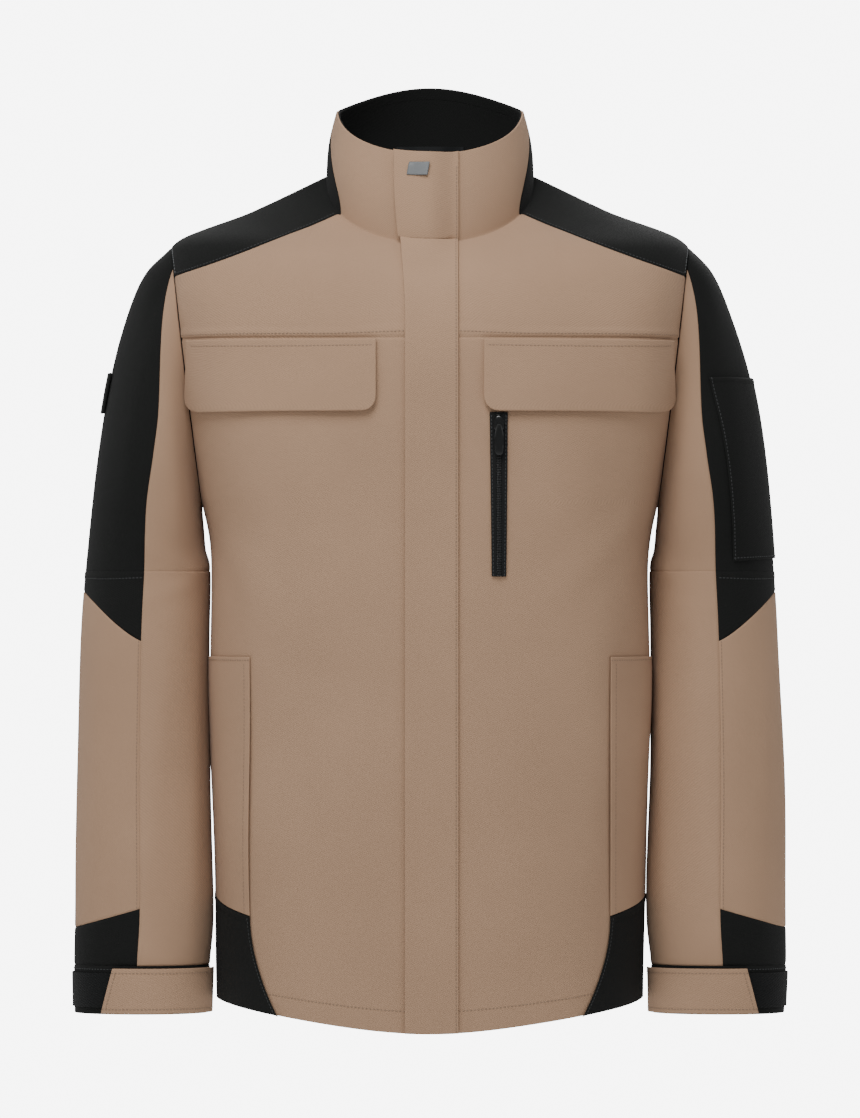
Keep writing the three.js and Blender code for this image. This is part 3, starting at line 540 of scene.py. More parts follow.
def sheetMesh(name, sheet, spacing=4.0):
    us = shares(sheet["wide"].mean(), spacing)
    vs = shares(sheet["long"].mean(), spacing)
    u, v = np.meshgrid(us, vs)
    upper, _ = onSheet(sheet, u, v)
    lower, _ = onSheet(sheet, u, v, under=True)
    rows, cols = u.shape
    turned = sheet["side"] < 0
    faces = np.concatenate([
        gridFaces(rows, cols, turned), gridFaces(rows, cols, not turned) + rows * cols,
        rimFaces(rows, cols)[:, ::-1] if turned else rimFaces(rows, cols),
    ])
    points = np.concatenate([upper.reshape(-1, 3), lower.reshape(-1, 3)])
    across, down = np.interp(v, sheet["t"], sheet["wide"]), np.interp(u, sheet["t"], sheet["long"])
    flat = np.stack([u * across, v * down], -1)
    uv = np.concatenate([flat.reshape(-1, 2)] * 2) / 1000
    cells = np.cross(upper[1:, 1:] - upper[:-1, :-1], upper[1:, :-1] - upper[:-1, 1:])
    sheet["area"] = np.linalg.norm(cells, axis=-1).sum() / 2e6
    return meshFrom(name, points, faces, uv)


# Materials
def toLinear(code):  # sRGB hex to linear: c / 12.92 below 0.04045, else ((c + 0.055) / 1.055) ^ 2.4
    c = np.array([int(code[i:i + 2], 16) for i in (1, 3, 5)]) / 255
    return (*np.where(c <= 0.04045, c / 12.92, ((c + 0.055) / 1.055) ** 2.4), 1)


def addNode(tree, kind, inputs=None, **settings):  # an input is a value, or a (node, output) pair to link
    node = tree.nodes.new(kind)
    for key, value in settings.items():
        setattr(node, key, value)
    for key, value in (inputs or {}).items():
        if isinstance(value, tuple) and isinstance(value[0], bpy.types.Node):
            tree.links.new(value[0].outputs[value[1]], node.inputs[key])
        else:
            node.inputs[key].default_value = value
    return node


def newMaterial(name):
    material = bpy.data.materials.new(name)
    material.use_nodes = True
    material.node_tree.nodes.clear()
    return material, material.node_tree


def wovenCloth(name, colour, roughness, sheen, grain, weave, lift, patch=0.06):
    # yarn at its own spacing as fine noise stretched both ways, crossed with diagonal twill lines,
    # and a slow unevenness from dyeing and handling
    material, tree = newMaterial(name)
    place = addNode(tree, "ShaderNodeTexCoord")
    uv = (place, "UV")
    yarn = addNode(tree, "ShaderNodeTexNoise",
                   {"Vector": uv, "Scale": 1 / grain, "Detail": 2.0, "Roughness": 0.6})
    turn = addNode(tree, "ShaderNodeMapping", {"Vector": uv, "Rotation": (0, 0, 63 * degrees)})
    twill = addNode(tree, "ShaderNodeTexWave",
                    {"Vector": (turn, "Vector"), "Scale": 0.314 / weave, "Distortion": 1.6, "Detail": 1.0,
                     "Detail Scale": 2.0}, wave_type="BANDS", bands_direction="X")
    slow = addNode(tree, "ShaderNodeTexNoise",
                   {"Vector": (place, "Object"), "Scale": 9.0, "Detail": 3.0, "Roughness": 0.55})
    threads = addNode(tree, "ShaderNodeMix", {"Factor": 0.35, "A": (yarn, "Fac"), "B": (twill, "Fac")},
                      data_type="FLOAT")
    base = np.array(toLinear(colour)[:3])
    fine = addNode(tree, "ShaderNodeMapRange",
                   {"Value": (threads, "Result"), "From Min": 0.25, "From Max": 0.75,
                    "To Min": 1 - 1.6 * patch, "To Max": 1 + 1.6 * patch})
    broad = addNode(tree, "ShaderNodeMapRange",
                    {"Value": (slow, "Fac"), "From Min": 0.3, "From Max": 0.7,
                     "To Min": 1 - patch, "To Max": 1 + patch})
    both = addNode(tree, "ShaderNodeMath", {0: (fine, "Result"), 1: (broad, "Result")}, operation="MULTIPLY")
    tinted = addNode(tree, "ShaderNodeVectorMath",
                     {0: tuple(base), "Scale": (both, "Value")}, operation="SCALE")
    bump = addNode(tree, "ShaderNodeBump",
                   {"Height": (threads, "Result"), "Strength": lift, "Distance": 0.0006})
    surface = addNode(tree, "ShaderNodeBsdfPrincipled",
                      {"Base Color": (tinted, "Vector"), "Roughness": roughness, "Normal": (bump, "Normal"),
                       "Sheen Weight": sheen, "Sheen Roughness": 0.5, "Specular IOR Level": 0.2})
    addNode(tree, "ShaderNodeOutputMaterial", {"Surface": (surface, "BSDF")})
    return material


def plain(name, colour, roughness, metallic=0.0, coat=0.0, grain=0.0):
    material, tree = newMaterial(name)
    inputs = {"Base Color": toLinear(colour), "Roughness": roughness, "Metallic": metallic,
              "Coat Weight": coat}
    if grain:
        place = addNode(tree, "ShaderNodeTexCoord")
        noise = addNode(tree, "ShaderNodeTexNoise",
                        {"Vector": (place, "Object"), "Scale": 1 / grain, "Detail": 2.0})
        bump = addNode(tree, "ShaderNodeBump",
                       {"Height": (noise, "Fac"), "Strength": 0.25, "Distance": 0.0003})
        inputs["Normal"] = (bump, "Normal")
    surface = addNode(tree, "ShaderNodeBsdfPrincipled", inputs)
    addNode(tree, "ShaderNodeOutputMaterial", {"Surface": (surface, "BSDF")})
    return material


# canvas yarns are about 0.5 mm, drawn at 1.1 mm so that they show; lining yarns are finer
materials = {
    "tan": wovenCloth("piece-dyed cotton canvas, tan", "#A5866D", 0.9, 0.06, 0.0011, 0.0016, 0.5, 0.045),
    "black": wovenCloth("piece-dyed cotton canvas, black", "#121312", 0.9, 0.02, 0.0011, 0.0016, 0.5, 0.08),
    "lining": wovenCloth("polyester taffeta lining, black", "#1F2121", 0.6, 0.05, 0.0006, 0.0009, 0.25, 0.05),
    "tape": wovenCloth("woven polyester zip tape, black", "#131414", 0.8, 0.05, 0.0008, 0.0012, 0.6, 0.08),
    "loop": wovenCloth("brushed nylon loop tape, black", "#0F1010", 0.95, 0.05, 0.0016, 0.0022, 1.0, 0.2),
    "ribbon": wovenCloth("woven polyester ribbon, black", "#1A1C1D", 0.7, 0.1, 0.0008, 0.0012, 0.6, 0.08),
    "label": plain("moulded soft label, grey", "#5F6264", 0.5, grain=0.0012),
    "lacquer": plain("die-cast zip slider, black lacquer", "#121313", 0.32, 0.3, 0.3),
    "nylon": plain("moulded nylon coil, black", "#101111", 0.4),
    "tanThread": plain("spun polyester thread, tan", "#8A725E", 0.8),
    "blackThread": plain("spun polyester thread, black", "#2B2D2E", 0.75),
    "greyThread": plain("spun polyester thread, grey", "#6E7071", 0.75),
}
print("materials made")


def rides(piece, how, side=1):
    which = "left" if side > 0 else "right"
    if how == "upperSleeve":  # baked in place where it hangs
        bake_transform(piece)
    elif how == "elbow":
        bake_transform(piece)
    elif how == "forearm":
        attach(piece, "forearm_" + which)
    elif isinstance(how, tuple):
        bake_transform(piece)
    else:
        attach(piece, how)


def finish(piece, material, how, side=1, nodes=()):
    piece.data.materials.append(materials[material])
    if nodes:
        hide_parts(*nodes)
    rides(piece, how, side)
    return piece


def sewIn(name, sheet, material, how, nodes, spacing=4.0):
    piece = sheetMesh(name, sheet, spacing)
    finish(piece, material, how, sheet["side"], nodes)
    size = (sheet["wide"].mean() / 1000, sheet["long"].mean() / 1000)
    area = np.clip(sheet["area"], 0.31 * size[0] * size[1], size[0] * size[1])
    return piece


# Stitching: each stitch is a small spindle lying along the seam line
stitch = {"pitch": 3.3, "length": 2.5, "width": 0.42, "height": 0.3, "lift": 0.1}
sewn = {}


def spindle():  # a ten-point spindle: two tips, and two square rings between them
    ring = np.array([[0, 1, 0.2], [0, 0.25, 1], [0, -0.25, 1], [0, -1, 0.2]])
    tips = np.array([[-1, 0, 0.0], [1, 0, 0]])
    points = np.concatenate([tips[:1], ring + [-0.6, 0, 0], ring + [0.6, 0, 0], tips[1:]])
    faces = [[0, 2, 1], [0, 3, 2], [0, 4, 3], [9, 5, 6], [9, 6, 7], [9, 7, 8], [0, 1, 4], [9, 8, 5]]
    for i in range(4):
        j = (i + 1) % 4
        faces += [[1 + i, 1 + j, 5 + j], [1 + i, 5 + j, 5 + i]]
    return points, np.array(faces)


def sewLine(sheet, u, v, thread, how, pitch=None):
    p, n = onSheet(sheet, u, v, lift=stitch["lift"])
    run = np.concatenate([[0], np.cumsum(np.linalg.norm(np.diff(p, axis=0), axis=1))])
    gap = pitch or stitch["pitch"]
    at = np.arange(gap / 2, run[-1] - gap / 4, gap)

    def along(values, where):
        return np.stack([np.interp(where, run, values[:, i]) for i in range(3)], 1)

    way = along(p, at + 0.8) - along(p, at - 0.8)
    way /= np.linalg.norm(way, axis=1, keepdims=True)
    up = along(n, at)
    across = np.cross(up, way)
    across /= np.linalg.norm(across, axis=1, keepdims=True)
    up = np.cross(way, across)
    shape, faces = spindle()
    local = shape * [stitch["length"] / 2, stitch["width"], stitch["height"]]
    points = (along(p, at)[:, None] + local[None, :, :1] * way[:, None]
              + local[None, :, 1:2] * across[:, None] + local[None, :, 2:] * up[:, None])
    faces = faces[None] + (np.arange(len(at)) * len(shape))[:, None, None]
    key = (thread, how, sheet["side"] if how in ("upperSleeve", "elbow", "forearm") else 1)
    sewn.setdefault(key, []).append((points.reshape(-1, 3), faces.reshape(-1, 3)))


def edgeLine(sheet, edge, inset, start=0.0, end=1.0, count=160):  # a line at a set distance from one edge
    t = np.linspace(start, end, count)
    if edge in "ab":
        share = inset / np.interp(t, sheet["t"], sheet["wide"])
        return (share if edge == "a" else 1 - share), t
    share = inset / np.interp(t, sheet["t"], sheet["long"])
    return t, (share if edge == "c" else 1 - share)


# Even spacing along a surface's own coordinates
def evenRings(point, a, low, high):
    k = np.linspace(low, high, 160)
    run = np.concatenate([[0], np.cumsum(np.linalg.norm(np.diff(point(a, k), axis=0), axis=1))])
    return lambda t: np.interp(np.asarray(t) * run[-1], run, k)


def evenShare(point, k, low, high):
    a = np.linspace(low, high, 200)
    run = np.concatenate([[0], np.cumsum(np.linalg.norm(np.diff(point(a, k), axis=0), axis=1))])
    return lambda u: (np.interp(np.asarray(u) * run[-1], run, a) - low) / (high - low)


def coons(bottom, top, left, right):  # four edge curves filled in between, as a Coons patch
    def place(u, v):
        b, t, l, r = bottom(u), top(u), left(v), right(v)
        b0, b1, t0, t1 = bottom(0 * u), bottom(0 * u + 1), top(0 * u), top(0 * u + 1)
        return [mix(b[i], t[i], v) + mix(l[i], r[i], u) - mix(mix(b0[i], b1[i], u), mix(t0[i], t1[i], u), v)
                for i in (0, 1)]
    return place


def lineTo(a, b):
    return lambda t: (mix(a[0], b[0], t), mix(a[1], b[1], t))


def table1d(curve, count=64):  # a slow curve read from a short table
    t = np.linspace(0, 1, count)
    values = curve(t)
    return lambda x: tuple(np.interp(x, t, value) for value in values)


def table2d(place, count=30):  # a slow place read from a small grid, linear within its cells
    t = np.linspace(0, 1, count)
    grid = np.stack(place(*np.meshgrid(t, t)), -1)

    def read(u, v):
        fu, fv = np.clip(u, 0, 1) * (count - 1), np.clip(v, 0, 1) * (count - 1)
        i, j = np.minimum(fu.astype(int), count - 2), np.minimum(fv.astype(int), count - 2)
        du, dv = (fu - i)[..., None], (fv - j)[..., None]
        low, high = mix(grid[j, i], grid[j, i + 1], du), mix(grid[j + 1, i], grid[j + 1, i + 1], du)
        return tuple(np.moveaxis(mix(low, high, dv), -1, 0))
    return read


bothSides = ((1, "left", "Left"), (-1, "right", "Right"))
bodyKeep, sleeveKeep = keepSide(-1), keepSide(1)

# Body shell
front = {"zipGap": 4, "yokeSeamStart": 12, "seamBow": 14}


def centreFront(k):
    return angleAtX(front["zipGap"], k)


frontRings = evenRings(bodyPoint, 0.5, 0, 6)
frontShare = evenShare(bodyPoint, 3, 0.03, half)
centreTable = table1d(lambda t: (centreFront(11 * t),))
frontTable = table1d(lambda t: (frontEdge(11 * t),), 400)
backTable = table1d(lambda t: (backEdge(11 * t),), 400)


def frontPlace(u, v):
    k = frontRings(v)
    return mix(centreTable(k / 11)[0], frontTable(k / 11)[0], frontShare(u)), k


seamStart = (float(angleAtX(cut["neckHalfWidth"] - front["yokeSeamStart"], 10)), 10.0)
seamEndZ = armpitZ + 0.865 * cut["armholeHeight"]
seamEndRing = float(solve(lambda k: bodyPoint(frontArmhole(k), k)[..., 2] - seamEndZ, 6, armholeHigh - 0.01))
seamEnd = (float(frontArmhole(seamEndRing)), seamEndRing)
startPoint, endPoint = bodyPoint(*seamStart), bodyPoint(*seamEnd)


def shoulderCurve(t):  # straight in front view, bowed down by a parabola
    x = mix(startPoint[0], endPoint[0], t)
    z = mix(startPoint[2], endPoint[2], t) - front["seamBow"] * t * (1 - t)
    a, k = spot(x, z)
    ends = [t <= 0, t >= 1]
    return np.select(ends, [seamStart[0], seamEnd[0]], a), np.select(ends, [seamStart[1], seamEnd[1]], k)


shoulderSeam = table1d(shoulderCurve)
yokeShare = 0.4
neckEdge = lineTo((float(centreFront(10)), 10), seamStart)


def yokeTop(u):  # the neck edge, then the shoulder seam
    first = neckEdge(np.clip(u / yokeShare, 0, 1))
    second = shoulderSeam(np.clip((u - yokeShare) / (1 - yokeShare), 0, 1))
    return tuple(np.where(u <= yokeShare, first[i], second[i]) for i in (0, 1))


def yokeRight(v):
    k = mix(6, seamEndRing, v)
    return frontTable(k / 11)[0], k


yokePlace = coons(
    lineTo((float(centreFront(6)), 6), (float(frontArmhole(6)), 6)), yokeTop,
    lambda v: (centreTable(mix(6, 10, v) / 11)[0], mix(6, 10, v)), yokeRight)

backCut = {"yokeRing": 6.4, "yokeShoulder": 7.35, "neck": 128 * degrees, "yokeShare": 0.35}
yokeFrontTurn, yokeBackTurn = armholeTurn(seamEndRing), -armholeTurn(backCut["yokeShoulder"])
yokeBackLow = (float(backArmhole(backCut["yokeShoulder"])), backCut["yokeShoulder"])
shoulderPlace = coons(
    table1d(lambda u: armhole(mix(yokeFrontTurn, yokeBackTurn, u))),
    lineTo(seamStart, (backCut["neck"], 10)),
    lambda v: shoulderSeam(1 - v),
    lineTo(yokeBackLow, (backCut["neck"], 10)))


def backYokeEdge(v):
    share = backCut["yokeShare"]
    k = mix(backCut["yokeRing"], backCut["yokeShoulder"], np.clip(v / share, 0, 1))
    high = lineTo(yokeBackLow, (backCut["neck"], 10))(np.clip((v - share) / (1 - share), 0, 1))
    return np.where(v > share, high[0], backTable(k / 11)[0]), np.where(v > share, high[1], k)


def turned(curve):
    def other(t):
        a, k = curve(t)
        return 2 * np.pi - a, k
    return other


yokeLow = (float(backArmhole(backCut["yokeRing"])), backCut["yokeRing"])
backYokePlace = coons(
    lineTo(yokeLow, (2 * np.pi - yokeLow[0], yokeLow[1])),
    lineTo((backCut["neck"], 10), (2 * np.pi - backCut["neck"], 10)), backYokeEdge, turned(backYokeEdge))
backRings = evenRings(bodyPoint, np.pi - 0.5, 0, backCut["yokeRing"])
backShare = evenShare(bodyPoint, 3, half, 1.5 * np.pi)


def backPlace(u, v):
    k = backRings(v)
    edge = backTable(k / 11)[0]
    return mix(edge, 2 * np.pi - edge, backShare(u)), k


for side, small, big in bothSides:
    panel = makeSheet(body, frontPlace, keep=bodyKeep, seams="bd", side=side)
    sewIn("frontPanel" + big, panel, "tan", root, ["front_panel_" + small])
    sewLine(panel, *edgeLine(panel, "c", 19, 0.04, 0.99), "tanThread", root)
    yoke = makeSheet(body, yokePlace, keep=bodyKeep, seams="bd", welts="c", side=side)
    sewIn("chestYoke" + big, yoke, "tan", root, ["chest_yoke_" + small])
    sewLine(yoke, *edgeLine(yoke, "c", 2.6, 0.1, 0.995), "tanThread", root)
    top = makeSheet(body, shoulderPlace, keep=bodyKeep, seams="abcd", side=side)
    sewIn("shoulderYoke" + big, top, "black", root, ["shoulder_yoke_" + small])
    sewLine(top, *edgeLine(top, "a", 3, 0.02, 0.98), "blackThread", root)
    sewLine(top, *edgeLine(top, "c", 2.2, 0.02, 0.45), "greyThread", root)
back = makeSheet(body, backPlace, keep=bodyKeep, seams="abd")
sewIn("backPanel", back, "tan", root, ["back_panel"])
sewLine(back, *edgeLine(back, "c", 19), "tanThread", root)
backYoke = makeSheet(body, backYokePlace, keep=bodyKeep, seams="abd", welts="c")
sewIn("backYoke", backYoke, "black", root, ["back_yoke"])
sewLine(backYoke, *edgeLine(backYoke, "c", 6.5), "blackThread", root)
print("body shell made")

# Lining, a layer inside the shell
liningCut = {"tapeEdge": 16, "ease": 3.5, "top": 9.93, "foot": 0.15}


def liningTop(u, v, p):  # it hangs further in across the shoulders, where the shell bends most
    high = smooth((p[..., 2] - chestSeamZ + 20) / 60) * (1 - smooth((p[..., 2] - cut["length"] + 55) / 40))
    return -cloth["liningDepth"] - liningCut["ease"] * high


liningRings = evenRings(bodyPoint, 0.5, liningCut["foot"], liningCut["top"])
liningBackRings = evenRings(bodyPoint, np.pi - 0.5, liningCut["foot"], liningCut["top"])
liningEdge = table1d(lambda t: (angleAtX(liningCut["tapeEdge"] + 2, 11 * t),))


def liningPlace(u, v):
    k = liningRings(v)
    return mix(liningEdge(k / 11)[0], frontTable(k / 11)[0], frontShare(u)), k


def liningBackPlace(u, v):
    k = liningBackRings(v)
    edge = backTable(k / 11)[0]
    return mix(edge, 2 * np.pi - edge, backShare(u)), k


for side, small, big in bothSides:
    inner = makeSheet(body, liningPlace, liningTop, cloth["liningThick"], keep=bodyKeep, side=side)
    sewIn("liningFront" + big, inner, "lining", root, ["lining_front_" + small],
          spacing=7)
inner = makeSheet(body, liningBackPlace, liningTop, cloth["liningThick"], keep=bodyKeep)
sewIn("liningBack", inner, "lining", root, ["lining_back"], spacing=7)

# Collar: tan front, black back, and a black facing inside with a seam below its rim
collar = {"joint": 57 * degrees, "jointTop": 98 * degrees, "start": -0.025, "liningDepth": 2.4}


def collarJoint(v):  # the tan front ends at the rim's side, and nearer the middle at the neck
    return mix(collar["joint"], collar["jointTop"], smooth(v) ** 1.2)


def collarFrontPlace(u, v):
    return mix(centreTable((10 + v) / 11)[0], collarJoint(v), u), 10 + mix(collar["start"], 1, v)


def collarBackPlace(u, v):
    return mix(collarJoint(v), 2 * np.pi - collarJoint(v), u), 10 + mix(collar["start"], 1, v)


def collarLiningPlace(low, high):
    def place(u, v):
        k = 10 + mix(low, high, v)
        edge = liningEdge(k / 11)[0]
        return mix(edge, 2 * np.pi - edge, u), k
    return place


for side, small, big in bothSides:
    stand = makeSheet(body, collarFrontPlace, seams="bc", side=side)
    sewIn("collarFront" + big, stand, "tan", root, ["collar_front_" + small], spacing=3)
stand = makeSheet(body, collarBackPlace, seams="abc")
sewIn("collarBack", stand, "black", root, ["collar_back"], spacing=3)
facing = makeSheet(body, collarLiningPlace(0.03, 0.84), -collar["liningDepth"], 1, seams="d")
piece = sewIn("collarFacing", facing, "black", root, ["collar_lining"], spacing=3.5)
band = makeSheet(body, collarLiningPlace(0.842, 0.995), -collar["liningDepth"] + 0.3, 1.2, seams="c")
sewIn("collarRimBand", band, "black", root, [], spacing=3.5)

# Pocket bags, flat and empty between shell and lining
bags = {"top": -2.5, "thick": 0.95}
pocketX = cut["hemHalfWidth"] - 30
handPocketTop = 330
cornerCut = {"height": 104, "width": 57}
flapCut = {
    "inner": 47, "outer": float(armholeX(chestSeamZ)) - 7, "drop": 63, "round": 13, "low": 1.4,
    "thick": 2.0, "proud": 1.6,
}
zipCut = {"length": 144, "width": 16}


def frontViewPlace(lowInner, lowOuter, highOuter, highInner):  # four corners given in front view
    def place(u, v):
        x = mix(mix(lowInner[0], lowOuter[0], u), mix(highInner[0], highOuter[0], u), v)
        z = mix(mix(lowInner[1], lowOuter[1], u), mix(highInner[1], highOuter[1], u), v)
        return spot(x, z)
    return table2d(place, 20)


chestBagLow = chestSeamZ - zipCut["length"] - flapCut["drop"] - 8
bagIn, bagOut = flapCut["inner"] + 8, flapCut["outer"] - 62
handBagPlace = frontViewPlace(
    (pocketX - 100, 94), (pocketX + 4, 114), (pocketX + 4, handPocketTop + 8), (pocketX - 85, handPocketTop))
chestBagPlace = frontViewPlace(
    (bagIn, chestBagLow), (bagOut, chestBagLow), (bagOut, chestSeamZ - 8), (bagIn, chestSeamZ - 8))
for side, small, big in bothSides:
    bag = makeSheet(body, handBagPlace, bags["top"], bags["thick"], side=side)
    sewIn("handPocketBag" + big, bag, "lining", root, ["hand_pocket_bag_" + small],
          spacing=14)
    bag = makeSheet(body, chestBagPlace, bags["top"], bags["thick"], side=side)
    sewIn("chestPocketBag" + big, bag, "lining", root, ["chest_pocket_bag_" + small],
          spacing=14)

# Hem corners and hand pocket facings, laid on the front
overlay = {"top": 2.0, "thick": 1.0, "roll": 1.2}
cornerX = cut["hemHalfWidth"] - cornerCut["width"]


def cornerCurve(v):
    x = mix(cornerX, pocketX, np.sin(half * v) ** 0.85)
    a, k = spot(x, mix(10, cornerCut["height"] - 2, v))
    foot = angleAtX(cornerX, 0)
    return np.where(v <= 0, foot, a), np.where(v <= 0, 0, k)


cornerEdge = table1d(cornerCurve)
sideTop = float(solve(lambda k: bodyPoint(half, k)[..., 2] - cornerCut["height"] - 19, 0, 3))
footEdge, headEdge = [tuple(float(w) for w in cornerEdge(t)) for t in (0.0, 1.0)]
cornerTop = lineTo(headEdge, (half, sideTop))
cornerPlace = coons(lineTo(footEdge, (half, 0)), cornerTop, cornerEdge, lineTo((half, 0), (half, sideTop)))
facingTop = tuple(float(w) for w in spot(pocketX, handPocketTop))
facingSide = (half, float(solve(lambda k: bodyPoint(half, k)[..., 2] - handPocketTop, 0, 4)))
facingPlace = coons(
    cornerTop, lineTo(facingTop, facingSide),
    table1d(lambda v: spot(pocketX, mix(cornerCut["height"] - 2, handPocketTop, v))),
    lineTo((half, sideTop), facingSide))


def pocketMouth(u, v, p):  # the facing's free edge stands a little open, most at its middle
    return overlay["top"] + overlay["roll"] * (1 - smooth(u / 0.35)) * np.sin(np.pi * np.clip(v, 0, 1))


for side, small, big in bothSides:
    corner = makeSheet(body, cornerPlace, overlay["top"], overlay["thick"], side=side, seams="b", welts="d")
    sewIn("hemCorner" + big, corner, "black", root, ["hem_corner_" + small])
    sewLine(corner, *edgeLine(corner, "a", 2.4), "blackThread", root)
    mouth = makeSheet(body, facingPlace, pocketMouth, overlay["thick"], side=side, seams="b")
    sewIn("handPocketFacing" + big, mouth, "tan", root, ["hand_pocket_facing_" + small])
    sewLine(mouth, *edgeLine(mouth, "a", 6.5, 0.0, 0.985), "tanThread", root)
    sewLine(mouth, *edgeLine(mouth, "d", 3.0), "tanThread", root)

# Chest flaps: rounded lower corners, standing a little off the front
flapTopZ = chestSeamZ - 1.5


def flapPlace(u, v):
    z = flapTopZ - flapCut["drop"] * (1 - v)
    above = np.minimum(flapCut["round"], z - (flapTopZ - flapCut["drop"]))
    into = flapCut["round"] - above
    pinch = flapCut["round"] - np.sqrt(np.clip(flapCut["round"] ** 2 - into ** 2, 0, None))
    return spot(mix(flapCut["inner"] + pinch, flapCut["outer"] - pinch, u), z)


def flapTop(u, v, p):
    off = 1 - smooth(v / 0.9)
    waves = 0.5 * np.sin(2 * np.pi * (1.3 * u + 0.1)) * off
    return flapCut["low"] + flapCut["thick"] + flapCut["proud"] * off + waves


flapTable = table2d(flapPlace, 40)
for side, small, big in bothSides:
    flap = makeSheet(body, flapTable, flapTop, flapCut["thick"], side=side)
    hinge = [(0, 0, (flapTopZ - drop - shift[2]) / 1000) for drop in (0, 12)]
    how = (root, "flap_" + small, *hinge)
    sewIn("chestFlap" + big, flap, "tan", how, ["chest_flap_" + small], spacing=3)
    sewLine(flap, *edgeLine(flap, "d", 6, 0.02, 0.98), "tanThread", how)

# Sleeves: black outside, tan inside, an elbow patch, and a cuff of panel, band, loop tape and strap
frontBoundary = np.array([42, 70, 84, 88, 87, 88, 88], float)[:, None]
backBoundary = np.array([-52, -66, -80, -80, -80], float)[:, None]


def boundary(rows):
    return lambda s: degrees * readStations(rows, np.minimum(s, len(rows) - 1.001))[..., 0]


frontLine, backLine = boundary(frontBoundary), boundary(backBoundary)
upperRings = evenRings(sleevePoint, 0.6, 0, 5)
lowerFront, lowerBack = 88 * degrees, -80 * degrees


def outerPlace(u, v):
    s = upperRings(v)
    return mix(backLine(s), frontLine(s), u), s


def innerPlace(u, v):
    s = 5 * v
    return mix(frontLine(s), backLine(s) + 2 * np.pi, u), s


def between(top, bottom, a, b):
    def place(u, v):
        turn = mix(a, b, u)
        return turn, mix(top(turn), bottom(turn), v)
    return place


def forearmTop(turn):  # laps under the elbow seam, so that no gap shows there
    return 4.97 + 0 * turn


def bandLine(turn):
    return 9 + 0 * turn


def sleeveLine(height, count=120):  # a sleeve ring for each turn, read from a table over the whole round
    turns = np.linspace(-np.pi, 2 * np.pi, count)
    rows = sleeveAtHeight(turns, height(turns))
    return lambda turn: np.interp(turn, turns, rows)


cuffTopZ = sleeveCut["cuff"] + sleeveCut["band"]
patchBottom = sleeveLine(lambda a: sleeveCut["elbow"] - 61 + 44 * np.clip(np.cos(a), 0, 1) ** 1.3)
cuffTop = sleeveLine(lambda a: cuffTopZ + 51 - 18 * np.cos(a))
strapCut = {"end": 178, "low": 2.4, "thick": 1.6, "height": 41}
upperLining = {"depth": 2.6, "extra": 2.5}


def roundPlace(low, high):
    def place(u, v):
        return 2 * np.pi * u, mix(low, high, v)
    return place


def upperLiningTop(u, v, p):
    return -upperLining["depth"] - upperLining["extra"] * (1 - smooth(5 * v / 2.6))


for side, small, big in bothSides:
    def onArm(place, **settings):
        return makeSheet(sleeve, place, drape=armDrape, side=side, **settings)

    outer = onArm(outerPlace, keep=sleeveKeep, seams="abcd")
    sewIn("sleeveUpperOuter" + big, outer, "black", "upperSleeve", ["sleeve_upper_outer_" + small])
    under = onArm(innerPlace, keep=sleeveKeep, seams="abcd")
    sewIn("sleeveUpperInner" + big, under, "tan", "upperSleeve", ["sleeve_upper_inner_" + small])
    tube = onArm(roundPlace(0, 5), top=upperLiningTop, thick=1, keep=sleeveKeep)
    sewIn("sleeveLiningUpper" + big, tube, "lining", "upperSleeve", ["lining_upper_sleeve_" + small],
          spacing=7)
    patch = onArm(between(forearmTop, patchBottom, lowerBack, lowerFront), seams="abd", welts="c")
    sewIn("elbowPatch" + big, patch, "black", "elbow", ["elbow_patch_" + small])
    sewLine(patch, *edgeLine(patch, "c", 6.5), "blackThread", "elbow")
    arm = onArm(between(patchBottom, cuffTop, lowerBack, lowerFront), seams="abcd")
    sewIn("forearmOuter" + big, arm, "tan", "elbow", ["forearm_outer_" + small])
    sewLine(arm, *edgeLine(arm, "b", 2.4), "tanThread", "elbow")
    arm = onArm(between(forearmTop, bandLine, lowerFront, lowerBack + 2 * np.pi), seams="abcd")
    sewIn("forearmInner" + big, arm, "tan", "elbow", ["forearm_inner_" + small])
    cuff = onArm(between(cuffTop, bandLine, lowerBack, lowerFront), seams="abcd")
    sewIn("cuffPanel" + big, cuff, "black", "forearm", ["cuff_panel_" + small])
    tube = onArm(roundPlace(5, 9.8), top=-2.6, thick=1)
    sewIn("sleeveLiningLower" + big, tube, "lining", "elbow", ["lining_forearm_" + small],
          spacing=7)
    ring = onArm(roundPlace(9, 10), seams="c")
    sewIn("cuffBand" + big, ring, "black", "forearm", ["cuff_band_" + small], spacing=3)
    sewLine(ring, *edgeLine(ring, "c", 3, 0.0, 0.3), "blackThread", "forearm")
print("sleeves made")

# Storm placket: one strip from hem to collar, lying over the zip and lifted off the collar by its bulk
placket = {"width": 47, "seam": 25, "step": 8, "top": 2.7, "thick": 1.8, "lift": 9,
           "bendTop": 690, "bendEnd": 600}


def placketFree(k):
    z = bodyPoint(0 * k, k)[..., 2]
    return placket["seam"] - placket["width"] - placket["step"] * smooth((z - neckFrontZ + 70) / 130)


def placketPlace(u, v):
    k = placketRings(v)
    return signedAngle(mix(placketFree(k), placket["seam"], u), k), k


def placketRise(base, high):
    def top(u, v, p):
        over = smooth((placket["seam"] - 3 - p[..., 0]) / 26)
        raised = smooth((p[..., 2] - neckFrontZ + 30) / 40) * mix(0.6, 1, u)
        roll = 0.9 * (1 - smooth(u / 0.3)) * (1 - smooth((v - 0.8) / 0.1))
        return base + high * over * raised + roll
    return top


